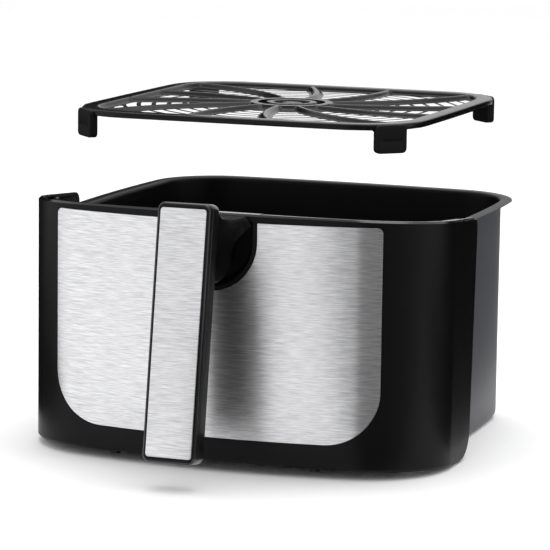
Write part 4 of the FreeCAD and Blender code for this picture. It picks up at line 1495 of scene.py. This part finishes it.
@dataclass
class Studio:
    """Camera, pale floor and soft light; angles in degrees, lens and sensor in millimetres."""

    camera_place: Place = (0.7385, -2.0494, 0.4558)
    azimuth: float = 20.08
    pitch: float = 9.02
    roll: float = 0.80
    lens: float = 202.44
    sensor: float = 36.0
    sky: float = 1.04
    floor_half: float = 8.0
    floor_gap: float = 0.0002
    floor_tones: Pair = (0.94, 0.96)
    floor_cloud: float = 3.0
    boxes: tuple[Softbox, ...] = (
        Softbox("overhead", (0.0, 0.4, 1.7), (0.0, 0.0, 0.1), (1.6, 1.2), 18.0),
        Softbox("left_front", (-1.6, -1.3, 0.9), (0.0, -0.1, 0.1), (1.0, 1.4), 2.5),
        Softbox("right_rear", (1.5, 0.7, 0.8), (0.1, 0.0, 0.1), (0.7, 1.2), 2.0),
    )
    cards: tuple[DarkCard, ...] = (
        DarkCard("right_card", (1.12, -1.4, 0.5), (1.12, 0.0, 0.5), (2.0, 1.3), 0.16),
        DarkCard("right_low_card", (1.11, -0.8, 0.003), (1.11, -0.8, 1.0), (2.0, 1.3), 0.16),
        DarkCard("handle_card", (0.014, -0.26, 0.06), (0.014, 0.0, 0.06), (0.016, 0.13)),
        DarkCard("rear_card", (0.55, 0.65, 0.25), (0.15, -0.05, 0.15), (0.9, 0.7)),
        DarkCard("rear_low_card", (0.54, 0.4, 0.003), (0.54, 0.4, 1.0), (0.74, 0.9)),
        DarkCard("left_card", (-0.7, 0.45, 0.25), (-0.15, -0.1, 0.15), (0.9, 0.7)),
        DarkCard("left_low_card", (-0.6, 0.25, 0.003), (-0.6, 0.25, 1.0), (0.8, 0.9)),
    )

    def build(self) -> None:
        """Make the camera, floor, sky, lights and cards."""
        self.camera()
        self.floor()
        world = bpy.data.worlds.new("studio")
        world.use_nodes = True
        sky = world.node_tree.nodes["Background"].inputs
        sky["Color"].default_value = (1.0, 1.0, 1.0, 1.0)
        sky["Strength"].default_value = self.sky
        bpy.context.scene.world = world
        bpy.context.scene.view_settings.view_transform = "Standard"
        for item in (*self.boxes, *self.cards):
            item.build()

    def camera(self) -> None:
        """Make the camera at the photograph's place, turned by azimuth, pitch and roll."""
        az, pitch, roll = (math.radians(a) for a in (self.azimuth, self.pitch, self.roll))
        ahead = Vector((-math.sin(az) * math.cos(pitch), math.cos(az) * math.cos(pitch),
                        -math.sin(pitch)))
        level = Vector((math.cos(az), math.sin(az), 0.0))
        rise = level.cross(ahead)
        right = math.cos(roll) * level + math.sin(roll) * rise
        up = math.cos(roll) * rise - math.sin(roll) * level
        data = bpy.data.cameras.new("camera")
        data.lens = self.lens
        data.sensor_width = self.sensor
        item = bpy.data.objects.new("camera", data)
        columns = Matrix((right, up, -ahead)).transposed().to_4x4()
        item.matrix_world = Matrix.Translation(self.camera_place) @ columns
        bpy.context.scene.collection.objects.link(item)
        bpy.context.scene.camera = item

    def floor(self) -> None:
        """Make the wide pale floor, a hair under the drawer."""
        build = bmesh.new()
        bmesh.ops.create_grid(build, x_segments=1, y_segments=1, size=self.floor_half)
        item = new_object("floor", build, sharp=30.0)
        item.location.z = -self.floor_gap
        paint = Paint("pale_floor")
        cloud = paint.noise(self.floor_cloud, detail=2.0)
        dark, light = ((tone,) * 3 for tone in self.floor_tones)
        item.data.materials.append(paint.finish(
            Base_Color=paint.blend(cloud, dark, light), Roughness=0.7, Specular_IOR_Level=0.1))


def main() -> None:
    """Load the part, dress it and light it."""
    logging.basicConfig(level=logging.INFO, format="%(message)s")
    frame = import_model()
    nodes = frame["nodes"]
    plate_steel = BrushedSteel("plate_steel", (0.49, 0.49, 0.505), (0.77, 0.77, 0.78),
                               roughness=0.31, anisotropy=0.5).material()
    insert_steel = BrushedSteel("insert_steel", (0.5, 0.5, 0.515), (0.78, 0.78, 0.79),
                                roughness=0.32, anisotropy=0.0).material()
    film = AdhesiveFilm("adhesive_film", (0.7, 0.7, 0.66)).material()
    handle_black = MouldedPlastic("handle_black", (0.003, 0.003, 0.0031),
                                  roughness=0.34, gloss=0.13).material()
    cover_black = MouldedPlastic("cover_black", (0.0026, 0.0026, 0.0027),
                                 roughness=0.38, gloss=0.13).material()
    # Lighter, glossier copy of the black plastic for the rounds and lip tops: a painted highlight.
    highlight_black = MouldedPlastic("highlight_black", (0.005, 0.005, 0.0053),
                                roughness=0.17, gloss=0.5).material()
    frame_black = MouldedPlastic("frame_black", (0.005, 0.005, 0.0052),
                                 roughness=0.22, gloss=0.5).material()
    gunmetal = CoatedMetal("pan_gunmetal", (0.055, 0.056, 0.063),
                           roughness=0.4, gloss=0.2).material()
    black_coat = CoatedMetal("pan_black", (0.0032, 0.0032, 0.0033),
                             roughness=0.4, gloss=0.11).material()
    tray_coat = CoatedMetal("tray_black", (0.0038, 0.0038, 0.0042),
                            roughness=0.24, gloss=0.13).material()
    silicone = SoftSilicone("silicone_black", (0.0035, 0.0035, 0.0035)).material()
    plated = PlatedSteel("zinc_plate", (0.42, 0.42, 0.4), (0.58, 0.58, 0.56)).material()
    black_zinc = PlatedSteel("black_zinc", (0.02, 0.02, 0.02), (0.035, 0.035, 0.034)).material()

    Studio().build()
    Basket().build(gunmetal, black_coat)
    FrontPanel().build(nodes, cover_black, highlight_black, frame_black, plate_steel, film)
    Handle().build(handle_black, highlight_black, insert_steel, film, nodes)
    CrisperTray().build(tray_coat, silicone)
    Fixings().build(nodes, plated, black_zinc)


if __name__ == "__main__":
    main()
